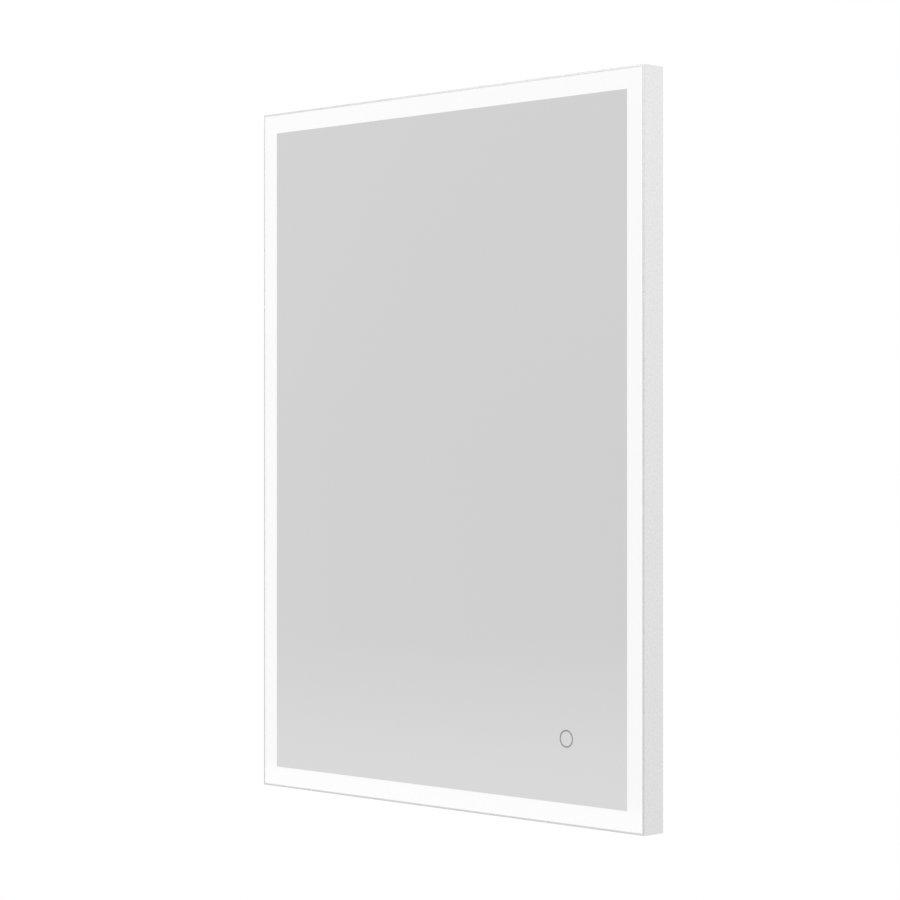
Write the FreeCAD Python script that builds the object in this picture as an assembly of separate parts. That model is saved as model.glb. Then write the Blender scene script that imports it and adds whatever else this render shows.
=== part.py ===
import FreeCAD, Part
import math
import os

# Lighted bathroom mirror, 600 x 800 x 31 mm, hung on two screws.
#
# X is to the viewer's right, Z is up and the wall is the plane Y = 0. A depth is a distance off
# the wall, so the front of the mirror is at depth DEPTH and Y = -DEPTH. Z = 0 is the height of
# the two hanging holes and X = 0 is midway between them. An inset is a distance in from the
# outer edge of the frame. Lengths are in millimetres.

V = FreeCAD.Vector
SIDES = ("top", "bottom", "left", "right")

# Whole mirror
WIDTH = 600.0
HEIGHT = 800.0
DEPTH = 30.0
HANGER_DROP = 100.0

# How far a cutter runs past a face, and how far shapes that are joined run into each other
OVERCUT = 1.0
LAP = 0.5

# Pane, silvering and diffuser
GLASS_THICKNESS = 4.0
GLASS_GAP = 0.5
GLASS_ARRIS = 0.4
SEAL_RECESS = 0.3
BAND_WIDTH = 23.5
SILVER_THICKNESS = 0.15
DIFFUSER_THICKNESS = 1.8
DIFFUSER_CLEARANCE = 0.05
DIFFUSER_EDGE_GAP = 0.2
DIFFUSER_LAP = 3.0

# Frame extrusion
FRAME_WALL = 1.5
RIM_BREAK = 0.3
GLASS_SEAT_WIDTH = 1.5
DIFFUSER_SEAT_WIDTH = 2.0
LEDGE_THICKNESS = 1.5
LIGHT_CHANNEL = 7.0
FLANGE_WIDTH = 12.0
FLANGE_THICKNESS = 1.5
CHANNEL_RECESS = 2.0
CHANNEL_LIP = 1.4
CHANNEL_WIDTH = 2.5
HOOK_THICKNESS = 1.0
HOOK_REACH = 1.6

# Corner keys
KEY_LEG = 32.0
KEY_CLEARANCE = 0.1
KEY_SCREW_RADIUS = 2.0
KEY_SCREW_FROM_CORNER = 21.0
KEY_SCREW_STAND = 0.6
KEY_SOCKET_RADIUS = 1.0
KEY_SOCKET_DEPTH = 1.5
THREAD_GAP = 0.03

# Back panel: a flat sheet, spot welded to four folded rails that close the light channel
PANEL_SHEET = 1.0
PANEL_CORNER = 2.0
RAIL_EDGE_GAP = 0.3
RAIL_FOOT = 11.0
WELL_MARGIN = 2.5
BEND_RADIUS = 0.8
TOP_SCREW_COUNT = 3
SIDE_SCREW_COUNT = 4
SCREW_FROM_CORNER = 60.0

# Small screws: head, shank and what stands out past the last sheet
SCREW_RADIUS = 1.45
SCREW_HEAD_RADIUS = 2.8
SCREW_HEAD_HEIGHT = 1.8
SCREW_CROWN = 1.1
SCREW_POINT = 1.2
SCREW_CLEARANCE = 0.25
CROSS_ARM = 1.55
CROSS_WIDTH = 0.6
CROSS_DEPTH = 0.9

# Mounting tape between the panel and the pane
TAPE_WIDTH = 10.0
TAPE_INSET = 2.0
TAPE_CORNER_GAP = 4.0

# LED strips
STRIP_WIDTH = 5.0
STRIP_THICKNESS = 1.0
STRIP_END_GAP = 15.0
LED_PITCH = 50.0 / 3
LED_LENGTH = 3.5
LED_WIDTH = 2.8
LED_HEIGHT = 0.8
LED_END_MARGIN = 9.0
JUMPER_RADIUS = 0.8
JUMPER_LAP = 4.0

# Demister pad
PAD_WIDTH = 300.0
PAD_HEIGHT = 340.0
PAD_BELOW_HANGERS = 260.0
PAD_THICKNESS = 0.4
PAD_CORNER = 12.0
CONNECTOR_FROM_MIDDLE = 40.0
CONNECTOR_RISE = 125.0
CONNECTOR_WIDTH = 24.0
CONNECTOR_HEIGHT = 14.0
CONNECTOR_DEPTH = 7.0
CONNECTOR_CORNER = 2.0

# Touch ring and sensor
RING_FROM_RIGHT = 109.4
RING_FROM_BOTTOM = 92.4
RING_DIAMETER = 17.5
RING_LINE = 1.8
SENSOR_WIDTH = 46.0
SENSOR_HEIGHT = 34.0
SENSOR_DEPTH = 8.0
SENSOR_CORNER = 2.0
SENSOR_WALL = 1.2
SENSOR_LEDGE = 1.8
SENSOR_TAPE = 0.5
SENSOR_BOARD = 1.0
SENSOR_BOARD_SINK = 1.0
SENSOR_BOARD_GAP = 0.2
ELECTRODE_RADIUS = 8.0
ELECTRODE_STAND = 0.2
ELECTRODE_GAP = 1.0
WINDOW_CLEARANCE = 2.0

# The sensor board's parts: place across and up, width, height and how far they stand off it
SENSOR_CHIP = (-6.0, 4.0, 5.0, 4.0, 1.5)
SENSOR_RELAY = (8.0, -2.0, 10.0, 7.0, 3.0)

# LED driver
DRIVER_FROM_BOX = 60.0
DRIVER_BELOW_CONNECTOR = 57.0
DRIVER_LENGTH = 150.0
DRIVER_WIDTH = 42.0
DRIVER_REAR = 6.0
DRIVER_PARTING = 8.0
DRIVER_WALL = 1.5
DRIVER_CORNER = 2.5
DRIVER_POST_RADIUS = 2.5
DRIVER_POST_FROM_END = 8.0
DRIVER_POST_FROM_SIDE = 7.0
LUG_LENGTH = 12.0
LUG_WIDTH = 14.0
BOARD_THICKNESS = 1.6
BOARD_CLEARANCE = 1.0
VENT_COUNT = 6
VENT_PITCH = 7.0
VENT_WIDTH = 2.0
VENT_FROM_SIDE = 8.5
VENT_FROM_END = 22.5

# The driver board's tall parts stop short of the cover; the others are a step lower
TALL_PART_GAP = 1.4
LOW_PART_STEP = 2.5
END_TERMINAL_LENGTH = 10.0
END_TERMINAL_HEIGHT = 18.0
END_TERMINAL_INSET = 3.5

# Tall and low blocks on the board: place across and up, width and height
TRANSFORMER = (8.0, 0.0, 26.0, 24.0)
HEAT_SINK = (32.0, 0.0, 3.0, 30.0)
FILTER_COIL = (-20.0, 6.0, 16.0, 14.0)

# Capacitors in pairs: place across, distance of each off the middle, radius
CAPACITOR_PAIRS = ((-40.0, 8.0, 5.0), (46.0, 7.0, 4.5))

# Terminal box
BOX_FROM_LEFT = 140.0
BOX_BELOW_HANGERS = 255.0
BOX_WIDTH = 84.0
BOX_HEIGHT = 60.0
BOX_REAR = 4.4
BOX_WALL = 2.0
BOX_CORNER = 3.0
BOSS_RADIUS = 4.2
BOSS_HEIGHT = 3.0
BOX_SCREW_INSET = 8.0

# Hinged lid of the terminal box
LID_THICKNESS = 2.0
LID_GAP = 0.2
LID_OPEN_ANGLE = 110.0
HINGE_RISE = 3.0
HINGE_DEPTH = 7.0
KNUCKLE_RADIUS = 2.6
KNUCKLE_LENGTH = 12.0
PIN_RADIUS = 1.0
PIN_CLEARANCE = 0.05
EAR_THICKNESS = 4.0
EAR_GAP = 0.3
HINGE_HALF_SPAN = 30.0
STOP_ARM = 3.1
STOP_RADIUS = 0.6
STOP_MARGIN = 6.0
TAB_HALF_WIDTH = 7.0
TAB_REACH = 4.0
TAB_THICKNESS = 1.6
TAB_GAP = 0.35

# Terminal block inside the box
BLOCK_WIDTH = 22.0
BLOCK_DEPTH = 12.0
POLE_PITCH = 12.0
POLES = 3
BLOCK_END = 1.0
BLOCK_OFFSET = 2.0
BLOCK_GROOVE = 1.2
ENTRY_RADIUS = 1.8
ENTRY_HEIGHT = 4.5
WELL_RADIUS = 2.4
TERMINAL_SCREW_RADIUS = 2.1
TERMINAL_SCREW_SINK = 1.0
TERMINAL_SCREW_LENGTH = 4.0
TERMINAL_SLOT = 0.8

# Cord inlet and clamp
INLET_RADIUS = 3.75
INLET_NECK = 5.2
INLET_FLANGE = 6.6
INLET_FLANGE_THICKNESS = 1.5
INLET_CLEARANCE = 0.3
CLAMP_FROM_WALL = 9.0
CLAMP_WIDTH = 7.0
CLAMP_LENGTH = 24.0
CLAMP_BAR = 2.5
CLAMP_CORNER = 1.5
CLAMP_SCREW_SPACING = 17.0
CLAMP_SCREW_GRIP = 5.0
CLAMP_HOLE_DEPTH = 6.0
CORD_PINCH = 0.5
SADDLE_HEIGHT = 1.5
SADDLE_WIDTH = 3.5

# Leads
LEAD_RADIUS = 2.0
CORE_RADIUS = 0.9
EARTH_WIRE_RADIUS = 1.2
FEED_RADIUS = 1.2
FEED_OFF_CENTRE = 1.0
CLIP_BASE = 1.0
CLIP_WALL = 1.2
CLIP_LENGTH = 8.0
CLIP_FOOT = 5.0
CLIP_CORNER = 1.5
LEAD_GAP = 0.1
LEAD_HOLE_GAP = 0.2
GROMMET_WALL = 1.4
GROMMET_LIP = 0.5
GROMMET_LIP_THICKNESS = 1.2
GROMMET_SEAT_GAP = 0.05

# Where the leads run and turn
SHEATH_INSIDE = 8.0
CORE_IN_BLOCK = 4.0
CORE_STRAIGHT = 5.0
BOX_EXIT_RUN = 10.0
BOX_EXIT_DROP = 14.0
DRIVER_ENTRY_OFFSET = 8.0
MAINS_TURN_RISE = 34.0
MAINS_TURN_ACROSS = 12.0
OUTPUT_TURN_ACROSS = 24.0
OUTPUT_TURN_DROP = 34.0
DEMISTER_EXIT_FROM_END = 36.0
FEED_RUN = 14.0
EARTH_RUN = 12.0

# Clips: how far their middles are from what is next along the lead
CLIP_ABOVE_DRIVER = 25.0
CLIP_BELOW_BOX_EXIT = 34.0
CLIP_BELOW_DRIVER = 37.0
CLIP_ABOVE_SENSOR = 24.0
OUTPUT_CLIP_COUNT = 3

# Earth stud
STUD_FROM_BOX = 16.0
STUD_DROP = 50.0
STUD_RADIUS = 2.0
STUD_LENGTH = 10.0
LUG_PLATE = 0.8
LUG_RADIUS = 4.0
WASHER_THICKNESS = 0.8
WASHER_RADIUS = 4.5
NUT_RADIUS = 4.0
NUT_THICKNESS = 3.2
BARREL_LENGTH = 7.0
BARREL_GAP = 0.8
BARREL_WALL = 0.7

# Keyhole hangers and their rivets
HANGER_FROM_SIDE = 100.0
HANGER_SHEET = 1.5
HANGER_HALF_WIDTH = 30.0
HANGER_FLANGE = 14.0
HANGER_BELOW = 20.0
HANGER_ABOVE = 32.0
KEYHOLE_RADIUS = 5.0
KEYHOLE_SLOT_RADIUS = 2.6
KEYHOLE_SLOT_RISE = 12.0
HANGER_CORNER = 1.0
RIVET_RADIUS = 1.6
RIVET_HEAD_RADIUS = 3.1
RIVET_HEAD_HEIGHT = 1.0
RIVET_CROWN = 0.6
RIVET_TAIL_RADIUS = 2.4
RIVET_TAIL_HEIGHT = 1.0
RIVET_FROM_END = 10.0

# Edges of the mirror and the depths that the pieces share
LEFT = -WIDTH / 2
RIGHT = WIDTH / 2
TOP = HANGER_DROP
BOTTOM = HANGER_DROP - HEIGHT
glass_back = DEPTH - GLASS_THICKNESS
silver_back = glass_back - SILVER_THICKNESS
diffuser_front = silver_back - DIFFUSER_CLEARANCE
diffuser_back = diffuser_front - DIFFUSER_THICKNESS
ledge_rear = diffuser_back - LEDGE_THICKNESS
flange_front = ledge_rear - LIGHT_CHANNEL
rail_front = flange_front - FLANGE_THICKNESS
rail_rear = rail_front - PANEL_SHEET
well_floor = diffuser_back - PANEL_SHEET
foot_rear = well_floor - PANEL_SHEET
led_depth = (flange_front + ledge_rear) / 2
feed_depth = led_depth - FEED_OFF_CENTRE

# Insets that the pieces share
glass_edge = FRAME_WALL + GLASS_GAP
glass_seat = FRAME_WALL + GLASS_SEAT_WIDTH
diffuser_seat = glass_seat + DIFFUSER_SEAT_WIDTH
channel_inner = FRAME_WALL + CHANNEL_WIDTH
hook_inner = channel_inner + HOOK_THICKNESS
rail_edge = hook_inner + RAIL_EDGE_GAP
rail_screw_inset = (rail_edge + FLANGE_WIDTH) / 2
well_outer = BAND_WIDTH + WELL_MARGIN
well_inner = well_outer + PANEL_SHEET
foot_inner = well_inner + RAIL_FOOT
diffuser_inner = well_outer + DIFFUSER_LAP
strip_face = FRAME_WALL + STRIP_THICKNESS

# Places that the pieces share
ring_x = RIGHT - RING_FROM_RIGHT
ring_z = BOTTOM + RING_FROM_BOTTOM
sensor_front = silver_back - SENSOR_TAPE
sensor_rear = sensor_front - SENSOR_DEPTH
sensor_board_front = sensor_front - SENSOR_BOARD_SINK
sensor_board_rear = sensor_board_front - SENSOR_BOARD
pad_z = -PAD_BELOW_HANGERS
pad_back = silver_back - PAD_THICKNESS
connector_x = CONNECTOR_FROM_MIDDLE
connector_z = pad_z - PAD_HEIGHT / 2 + CONNECTOR_RISE
connector_rear = pad_back - CONNECTOR_DEPTH
connector_low = connector_z - CONNECTOR_HEIGHT / 2
box_x = LEFT + BOX_FROM_LEFT
box_z = -BOX_BELOW_HANGERS
box_floor = well_floor - BOX_WALL
box_left = box_x - BOX_WIDTH / 2
box_right = box_x + BOX_WIDTH / 2
box_bottom = box_z - BOX_HEIGHT / 2
box_top = box_z + BOX_HEIGHT / 2
hinge_z = box_top + HINGE_RISE
block_x = box_x + BLOCK_OFFSET
block_rear = box_floor - BLOCK_DEPTH
entry_depth = box_floor - ENTRY_HEIGHT
cord_depth = box_floor - INLET_FLANGE - INLET_CLEARANCE
clamp_x = box_left + BOX_WALL + CLAMP_FROM_WALL
clamp_seat = cord_depth - INLET_RADIUS + CORD_PINCH
driver_left = box_right + DRIVER_FROM_BOX
driver_right = driver_left + DRIVER_LENGTH
driver_x = (driver_left + driver_right) / 2
driver_top = connector_low - DRIVER_BELOW_CONNECTOR
driver_bottom = driver_top - DRIVER_WIDTH
driver_z = (driver_top + driver_bottom) / 2
driver_split = well_floor - DRIVER_PARTING
driver_base = well_floor - DRIVER_WALL
board_front = driver_base - BOARD_CLEARANCE
board_rear = board_front - BOARD_THICKNESS
lead_depth = well_floor - CLIP_BASE - LEAD_RADIUS
mains_drop_x = (box_right + driver_left) / 2
grommet_neck = FEED_RADIUS + GROMMET_WALL
stud_x = box_right + STUD_FROM_BOX
stud_z = box_z - STUD_DROP
barrel_radius = EARTH_WIRE_RADIUS + BARREL_WALL
barrel_depth = well_floor - barrel_radius
barrel_start = stud_z + WASHER_RADIUS + BARREL_GAP
hanger_spacing = WIDTH - 2 * HANGER_FROM_SIDE
screw_hole = SCREW_RADIUS + SCREW_CLEARANCE
thread_hole = SCREW_RADIUS + THREAD_GAP


# ---------------------------------------------------------------- plain shapes


def block(x0, x1, depth0, depth1, z0, z1):
    """A box between two places across, two depths off the wall and two heights."""
    return Part.makeBox(x1 - x0, depth1 - depth0, z1 - z0, V(x0, -depth1, z0))


def plate(x, z, width, height, depth0, depth1):
    """A box centred on a place in the plane of the mirror."""
    return block(x - width / 2, x + width / 2, depth0, depth1, z - height / 2, z + height / 2)


def inset_plate(inset, depth0, depth1):
    """A plate whose four edges lie one inset inside the frame's outer edge."""
    return block(LEFT + inset, RIGHT - inset, depth0, depth1, BOTTOM + inset, TOP - inset)


def rounded(shape, radius):
    """The shape with its four edges square to the wall rounded."""
    edges = [e for e in shape.Edges if abs(e.tangentAt(e.FirstParameter).y) > 0.999]
    return shape.makeFillet(radius, edges)


def post(x, z, radius, depth0, depth1):
    """A round bar square to the wall."""
    return Part.makeCylinder(radius, depth1 - depth0, V(x, -depth1, z), V(0, 1, 0))


def bar_across(x0, x1, depth, z, radius):
    """A round bar along X."""
    return Part.makeCylinder(radius, x1 - x0, V(x0, -depth, z), V(1, 0, 0))


def cut_all(shape, tools):
    """The shape less each of the tools."""
    return shape.cut(Part.makeCompound(tools)) if tools else shape


def join(shapes):
    """One solid from shapes that touch or overlap."""
    whole = shapes[0]
    for shape in shapes[1:]:
        whole = whole.fuse(shape)
    return whole.removeSplitter()


def spread(low, high, count):
    """Places spaced evenly from low to high."""
    return [low + (high - low) * i / (count - 1) for i in range(count)]


# ---------------------------------------------------------------- rails and tubes


def rail_point(side, end, inset, depth):
    """The point of a mitred rail at its end -1 or 1, from its inset and its depth off the wall."""
    if side == "top":
        return V(end * (RIGHT - inset), -depth, TOP - inset)
    if side == "bottom":
        return V(end * (RIGHT - inset), -depth, BOTTOM + inset)
    z = TOP - inset if end > 0 else BOTTOM + inset
    x = LEFT + inset if side == "left" else RIGHT - inset
    return V(x, -depth, z)


def closed_face(points):
    """The flat face inside a closed line of points."""
    return Part.Face(Part.makePolygon(points + points[:1]))


def mitred_rail(side, section):
    """A rail along one side, with a section of (inset, depth) points and both ends mitred.

    Its faces point outwards when the section runs the right way round for the side, so a rail
    that comes out inside out is made again from the section in reverse.
    """
    near, far = [[rail_point(side, end, *point) for point in section] for end in (-1, 1)]
    faces = [closed_face(near), closed_face(far)]
    for i in range(len(section)):
        faces.append(closed_face([near[i - 1], near[i], far[i], far[i - 1]]))
    rail = Part.makeSolid(Part.makeShell(faces))
    return rail if rail.Orientation == "Forward" else mitred_rail(side, section[::-1])


def route(points):
    """Straight runs joined by tangent arcs, each as large as its two runs allow."""
    edges = []
    start = points[0]
    for before, corner, after in zip(points, points[1:], points[2:]):
        back = before - corner
        ahead = after - corner
        run = min(back.Length, ahead.Length)
        back.normalize()
        ahead.normalize()
        half_turn = (math.pi - back.getAngle(ahead)) / 2
        radius = 0.45 * run / math.tan(half_turn)
        setback = 0.45 * run
        inward = (back + ahead).normalize()
        arc_start = corner + back * setback
        arc_end = corner + ahead * setback
        arc_middle = corner + inward * (radius / math.cos(half_turn) - radius)
        edges.append(Part.LineSegment(start, arc_start).toShape())
        edges.append(Part.Arc(arc_start, arc_middle, arc_end).toShape())
        start = arc_end
    edges.append(Part.LineSegment(start, points[-1]).toShape())
    return Part.Wire(edges)


def tube(name, points, radius):
    """A round tube along a route given as (x, depth, z) points."""
    path = route([V(x, -depth, z) for x, depth, z in points])
    start = path.Edges[0].Vertexes[0].Point
    heading = path.Edges[0].Vertexes[1].Point - start
    profile = Part.Wire([Part.makeCircle(radius, start, heading)])
    solid = path.makePipeShell([profile], True, False)
    expected = math.pi * radius**2 * path.Length
    bends = [e.Curve.Radius for e in path.Edges if hasattr(e.Curve, "Radius")]
    print(f"{name}: {path.Length:.0f} mm, tightest bend {min(bends, default=0):.1f} mm,"
          f" volume off by {abs(solid.Volume - expected):.4f} mm3")
    return solid


# ---------------------------------------------------------------- fasteners


def screw(x, z, seat, length):
    """A pan head screw square to the wall, its head's underside at this depth, with a cross recess."""
    head = Part.makeCylinder(SCREW_HEAD_RADIUS, SCREW_HEAD_HEIGHT)
    crown = [e for e in head.Edges if isinstance(e.Curve, Part.Circle) and e.Vertexes[0].Z > LAP]
    head = head.makeFillet(SCREW_CROWN, crown)
    shank = Part.makeCylinder(SCREW_RADIUS, length + LAP, V(0, 0, LAP), V(0, 0, -1))
    floor = SCREW_HEAD_HEIGHT - CROSS_DEPTH
    half = CROSS_WIDTH / 2
    cross = [
        Part.makeBox(2 * CROSS_ARM, CROSS_WIDTH, CROSS_DEPTH + OVERCUT, V(-CROSS_ARM, -half, floor)),
        Part.makeBox(CROSS_WIDTH, 2 * CROSS_ARM, CROSS_DEPTH + OVERCUT, V(-half, -CROSS_ARM, floor)),
    ]
    whole = cut_all(head.fuse(shank), cross)
    whole.Placement = FreeCAD.Placement(V(x, -seat, z), FreeCAD.Rotation(V(0, 0, 1), V(0, 1, 0)))
    return whole


def hexagon(x, z, radius, depth0, depth1):
    """A six-sided bar square to the wall, measured across its corners."""
    corners = [math.radians(60 * i) for i in range(6)]
    points = [V(x + radius * math.cos(a), -depth1, z + radius * math.sin(a)) for a in corners]
    return closed_face(points).extrude(V(0, depth1 - depth0, 0))


# ---------------------------------------------------------------- frame

FRAME_SECTION = [
    (0, 0),
    (0, DEPTH - RIM_BREAK),
    (RIM_BREAK, DEPTH),
    (FRAME_WALL, DEPTH),
    (FRAME_WALL, glass_back),
    (glass_seat, glass_back),
    (glass_seat, diffuser_back),
    (diffuser_seat, diffuser_back),
    (diffuser_seat, ledge_rear),
    (FRAME_WALL, ledge_rear),
    (FRAME_WALL, flange_front),
    (FLANGE_WIDTH, flange_front),
    (FLANGE_WIDTH, rail_front),
    (hook_inner, rail_front),
    (hook_inner, rail_front - HOOK_REACH),
    (channel_inner, rail_front - HOOK_REACH),
    (channel_inner, rail_front),
    (FRAME_WALL, rail_front),
    (FRAME_WALL, CHANNEL_RECESS + CHANNEL_LIP),
    (channel_inner, CHANNEL_RECESS + CHANNEL_LIP),
    (channel_inner, CHANNEL_RECESS + CHANNEL_LIP + HOOK_REACH),
    (hook_inner, CHANNEL_RECESS + CHANNEL_LIP + HOOK_REACH),
    (hook_inner, CHANNEL_RECESS),
    (FRAME_WALL, CHANNEL_RECESS),
    (FRAME_WALL, 0),
]


def panel_screw_places():
    """Places of the screws through the channel rails, by the side that they go into."""
    across = spread(LEFT + SCREW_FROM_CORNER, RIGHT - SCREW_FROM_CORNER, TOP_SCREW_COUNT)
    down = spread(BOTTOM + SCREW_FROM_CORNER, TOP - SCREW_FROM_CORNER, SIDE_SCREW_COUNT)
    return {
        "top": [(x, TOP - rail_screw_inset) for x in across],
        "bottom": [(x, BOTTOM + rail_screw_inset) for x in across],
        "left": [(LEFT + rail_screw_inset, z) for z in down],
        "right": [(RIGHT - rail_screw_inset, z) for z in down],
    }


def frame_rail(side):
    """One mitred extrusion of the frame, drilled for the panel's screws."""
    pilots = [post(x, z, thread_hole, rail_front - OVERCUT, flange_front + OVERCUT)
              for x, z in panel_screw_places()[side]]
    return cut_all(mitred_rail(side, FRAME_SECTION), pilots)


def key_screw_line(across, up):
    """Foot and direction of each of the two grub screws of one corner."""
    depth = (CHANNEL_RECESS + CHANNEL_LIP + rail_front) / 2
    x_edge = across * RIGHT
    z_edge = TOP if up > 0 else BOTTOM
    from_corner = KEY_SCREW_FROM_CORNER
    flat = V(x_edge - across * from_corner, -depth, z_edge - up * FRAME_WALL)
    upright = V(x_edge - across * FRAME_WALL, -depth, z_edge - up * from_corner)
    return [(flat, V(0, 0, -up)), (upright, V(-across, 0, 0))]


def corner_key(across, up):
    """An L-shaped key in the channels of two frame rails; across and up are -1 or 1."""
    outer = FRAME_WALL + KEY_CLEARANCE
    inner = channel_inner - KEY_CLEARANCE
    rear = CHANNEL_RECESS + CHANNEL_LIP + KEY_CLEARANCE
    front = rail_front - KEY_CLEARANCE
    x_edge = across * RIGHT
    z_edge = TOP if up > 0 else BOTTOM

    def leg(inset_x, inset_z):
        xs = sorted(x_edge - across * inset for inset in (outer, inset_x))
        zs = sorted(z_edge - up * inset for inset in (outer, inset_z))
        return block(*xs, rear, front, *zs)

    key = join([leg(outer + KEY_LEG, inner), leg(inner, outer + KEY_LEG)])
    holes = [Part.makeCylinder(KEY_SCREW_RADIUS + THREAD_GAP, CHANNEL_WIDTH + OVERCUT, foot, direction)
             for foot, direction in key_screw_line(across, up)]
    return cut_all(key, holes)


def corner_keys():
    """The four keys that hold the frame's mitres together."""
    return [corner_key(across, up) for across in (-1, 1) for up in (-1, 1)]


def corner_screws():
    """Two grub screws in each corner key, bearing on the frame's wall, with hex sockets."""
    length = CHANNEL_WIDTH + KEY_SCREW_STAND
    screws = []
    for across in (-1, 1):
        for up in (-1, 1):
            for foot, direction in key_screw_line(across, up):
                grub = Part.makeCylinder(KEY_SCREW_RADIUS, length, foot, direction)
                floor = foot + direction * (length - KEY_SOCKET_DEPTH)
                socket = Part.makeCylinder(KEY_SOCKET_RADIUS, KEY_SOCKET_DEPTH + OVERCUT, floor, direction)
                screws.append(grub.cut(socket))
    return screws


# ---------------------------------------------------------------- pane and light


def mirror_glass():
    """The float glass pane, flush with the rim, with a small arris round its front and back."""
    pane = inset_plate(glass_edge, glass_back, DEPTH)
    outline = [e for e in pane.Edges if abs(e.tangentAt(e.FirstParameter).y) < 0.001]
    return pane.makeChamfer(GLASS_ARRIS, outline)


def glass_edge_seal():
    """The bead between the pane's edge and the rim."""
    outer = inset_plate(FRAME_WALL, glass_back, DEPTH - SEAL_RECESS)
    middle = inset_plate(glass_edge + GLASS_GAP, glass_back - OVERCUT, DEPTH + OVERCUT)
    return outer.cut(mirror_glass()).cut(middle)


def silvering():
    """The coat on the pane's back inside the lit band, with the touch ring etched out of it."""
    coat = inset_plate(BAND_WIDTH, silver_back, glass_back)
    ring = post(ring_x, ring_z, (RING_DIAMETER + RING_LINE) / 2, silver_back - OVERCUT,
                glass_back + OVERCUT)
    core = post(ring_x, ring_z, (RING_DIAMETER - RING_LINE) / 2, silver_back, glass_back)
    return [coat.cut(ring), core]


def diffuser(side):
    """An opal strip behind the lit band, on the frame's seat and the panel's edge."""
    outer = glass_seat + DIFFUSER_EDGE_GAP
    section = [
        (outer, diffuser_back),
        (outer, diffuser_front),
        (diffuser_inner, diffuser_front),
        (diffuser_inner, diffuser_back),
    ]
    return mitred_rail(side, section)


def strip_span(side):
    """Low and high end of an LED strip along its side."""
    margin = FRAME_WALL + STRIP_END_GAP
    if side in ("top", "bottom"):
        return LEFT + margin, RIGHT - margin
    return BOTTOM + margin, TOP - margin


def led_places(side):
    """Places of the LEDs along a strip, at one pitch about the strip's middle."""
    low, high = strip_span(side)
    gaps = int((high - low - 2 * LED_END_MARGIN) / LED_PITCH)
    first = (low + high) / 2 - gaps * LED_PITCH / 2
    return [first + i * LED_PITCH for i in range(gaps + 1)]


def along_side(side, low, high, inset0, inset1, width):
    """A bar along one side, between two insets, centred on the depth of the LEDs."""
    rear = led_depth - width / 2
    front = led_depth + width / 2
    if side == "top":
        return block(low, high, rear, front, TOP - inset1, TOP - inset0)
    if side == "bottom":
        return block(low, high, rear, front, BOTTOM + inset0, BOTTOM + inset1)
    if side == "left":
        return block(LEFT + inset0, LEFT + inset1, rear, front, low, high)
    return block(RIGHT - inset1, RIGHT - inset0, rear, front, low, high)


def led_strip(side):
    """A strip stuck to the frame's inner wall, with its LEDs facing the middle of the mirror."""
    low, high = strip_span(side)
    board = along_side(side, low, high, FRAME_WALL, strip_face, STRIP_WIDTH)
    chips = [
        along_side(side, place - LED_LENGTH / 2, place + LED_LENGTH / 2,
                   strip_face, strip_face + LED_HEIGHT, LED_WIDTH)
        for place in led_places(side)
    ]
    return board.multiFuse(chips)


def strip_jumpers():
    """Leads from strip to strip round the corners, all but the lower right one."""
    inset = strip_face + JUMPER_RADIUS
    reach = FRAME_WALL + STRIP_END_GAP + JUMPER_LAP
    jumpers = []
    for across, up in ((1, 1), (-1, 1), (-1, -1)):
        x_edge = across * RIGHT
        z_edge = TOP if up > 0 else BOTTOM
        points = [
            (x_edge - across * inset, led_depth, z_edge - up * reach),
            (x_edge - across * inset, led_depth, z_edge - up * inset),
            (x_edge - across * reach, led_depth, z_edge - up * inset),
        ]
        jumpers.append(tube("strip_jumper", points, JUMPER_RADIUS))
    return jumpers


# ---------------------------------------------------------------- back panel


def rivet_places(hanger_x):
    """Places of one hanger's four rivets."""
    out = HANGER_HALF_WIDTH + HANGER_FLANGE / 2
    heights = (-HANGER_BELOW + RIVET_FROM_END, HANGER_ABOVE - RIVET_FROM_END)
    return [(hanger_x + side * out, z) for side in (-1, 1) for z in heights]


def hanger_places():
    """The hanging holes' places across."""
    return [-hanger_spacing / 2, hanger_spacing / 2]


def box_screw_places():
    """Two screws through opposite corners of the terminal box."""
    out = BOX_WIDTH / 2 - BOX_SCREW_INSET
    rise = BOX_HEIGHT / 2 - BOX_SCREW_INSET
    return [(box_x - out, box_z + rise), (box_x + out, box_z - rise)]


def driver_screw_places():
    """One screw in each of the driver's end lugs."""
    out = LUG_LENGTH / 2
    in_from_side = LUG_WIDTH / 2
    upper, lower = driver_top - in_from_side, driver_bottom + in_from_side
    return [(driver_left - out, upper), (driver_right + out, lower)]


def feed_z():
    """Height at which the feed lead meets the right strip, midway between two LEDs."""
    first = led_places("right")[0]
    gap = (ring_z - first) // LED_PITCH
    return first + gap * LED_PITCH + LED_PITCH / 2


def rail_bend(rail, side, inset, depth, radius):
    """The rail with its long edge at this inset and depth rounded, as the fold leaves it."""
    ends = [rail_point(side, end, inset, depth) for end in (-1, 1)]
    edges = [e for e in rail.Edges
             if all(min(v.Point.distanceToPoint(p) for v in e.Vertexes) < 0.001 for p in ends)]
    return rail.makeFillet(radius, edges)


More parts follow.
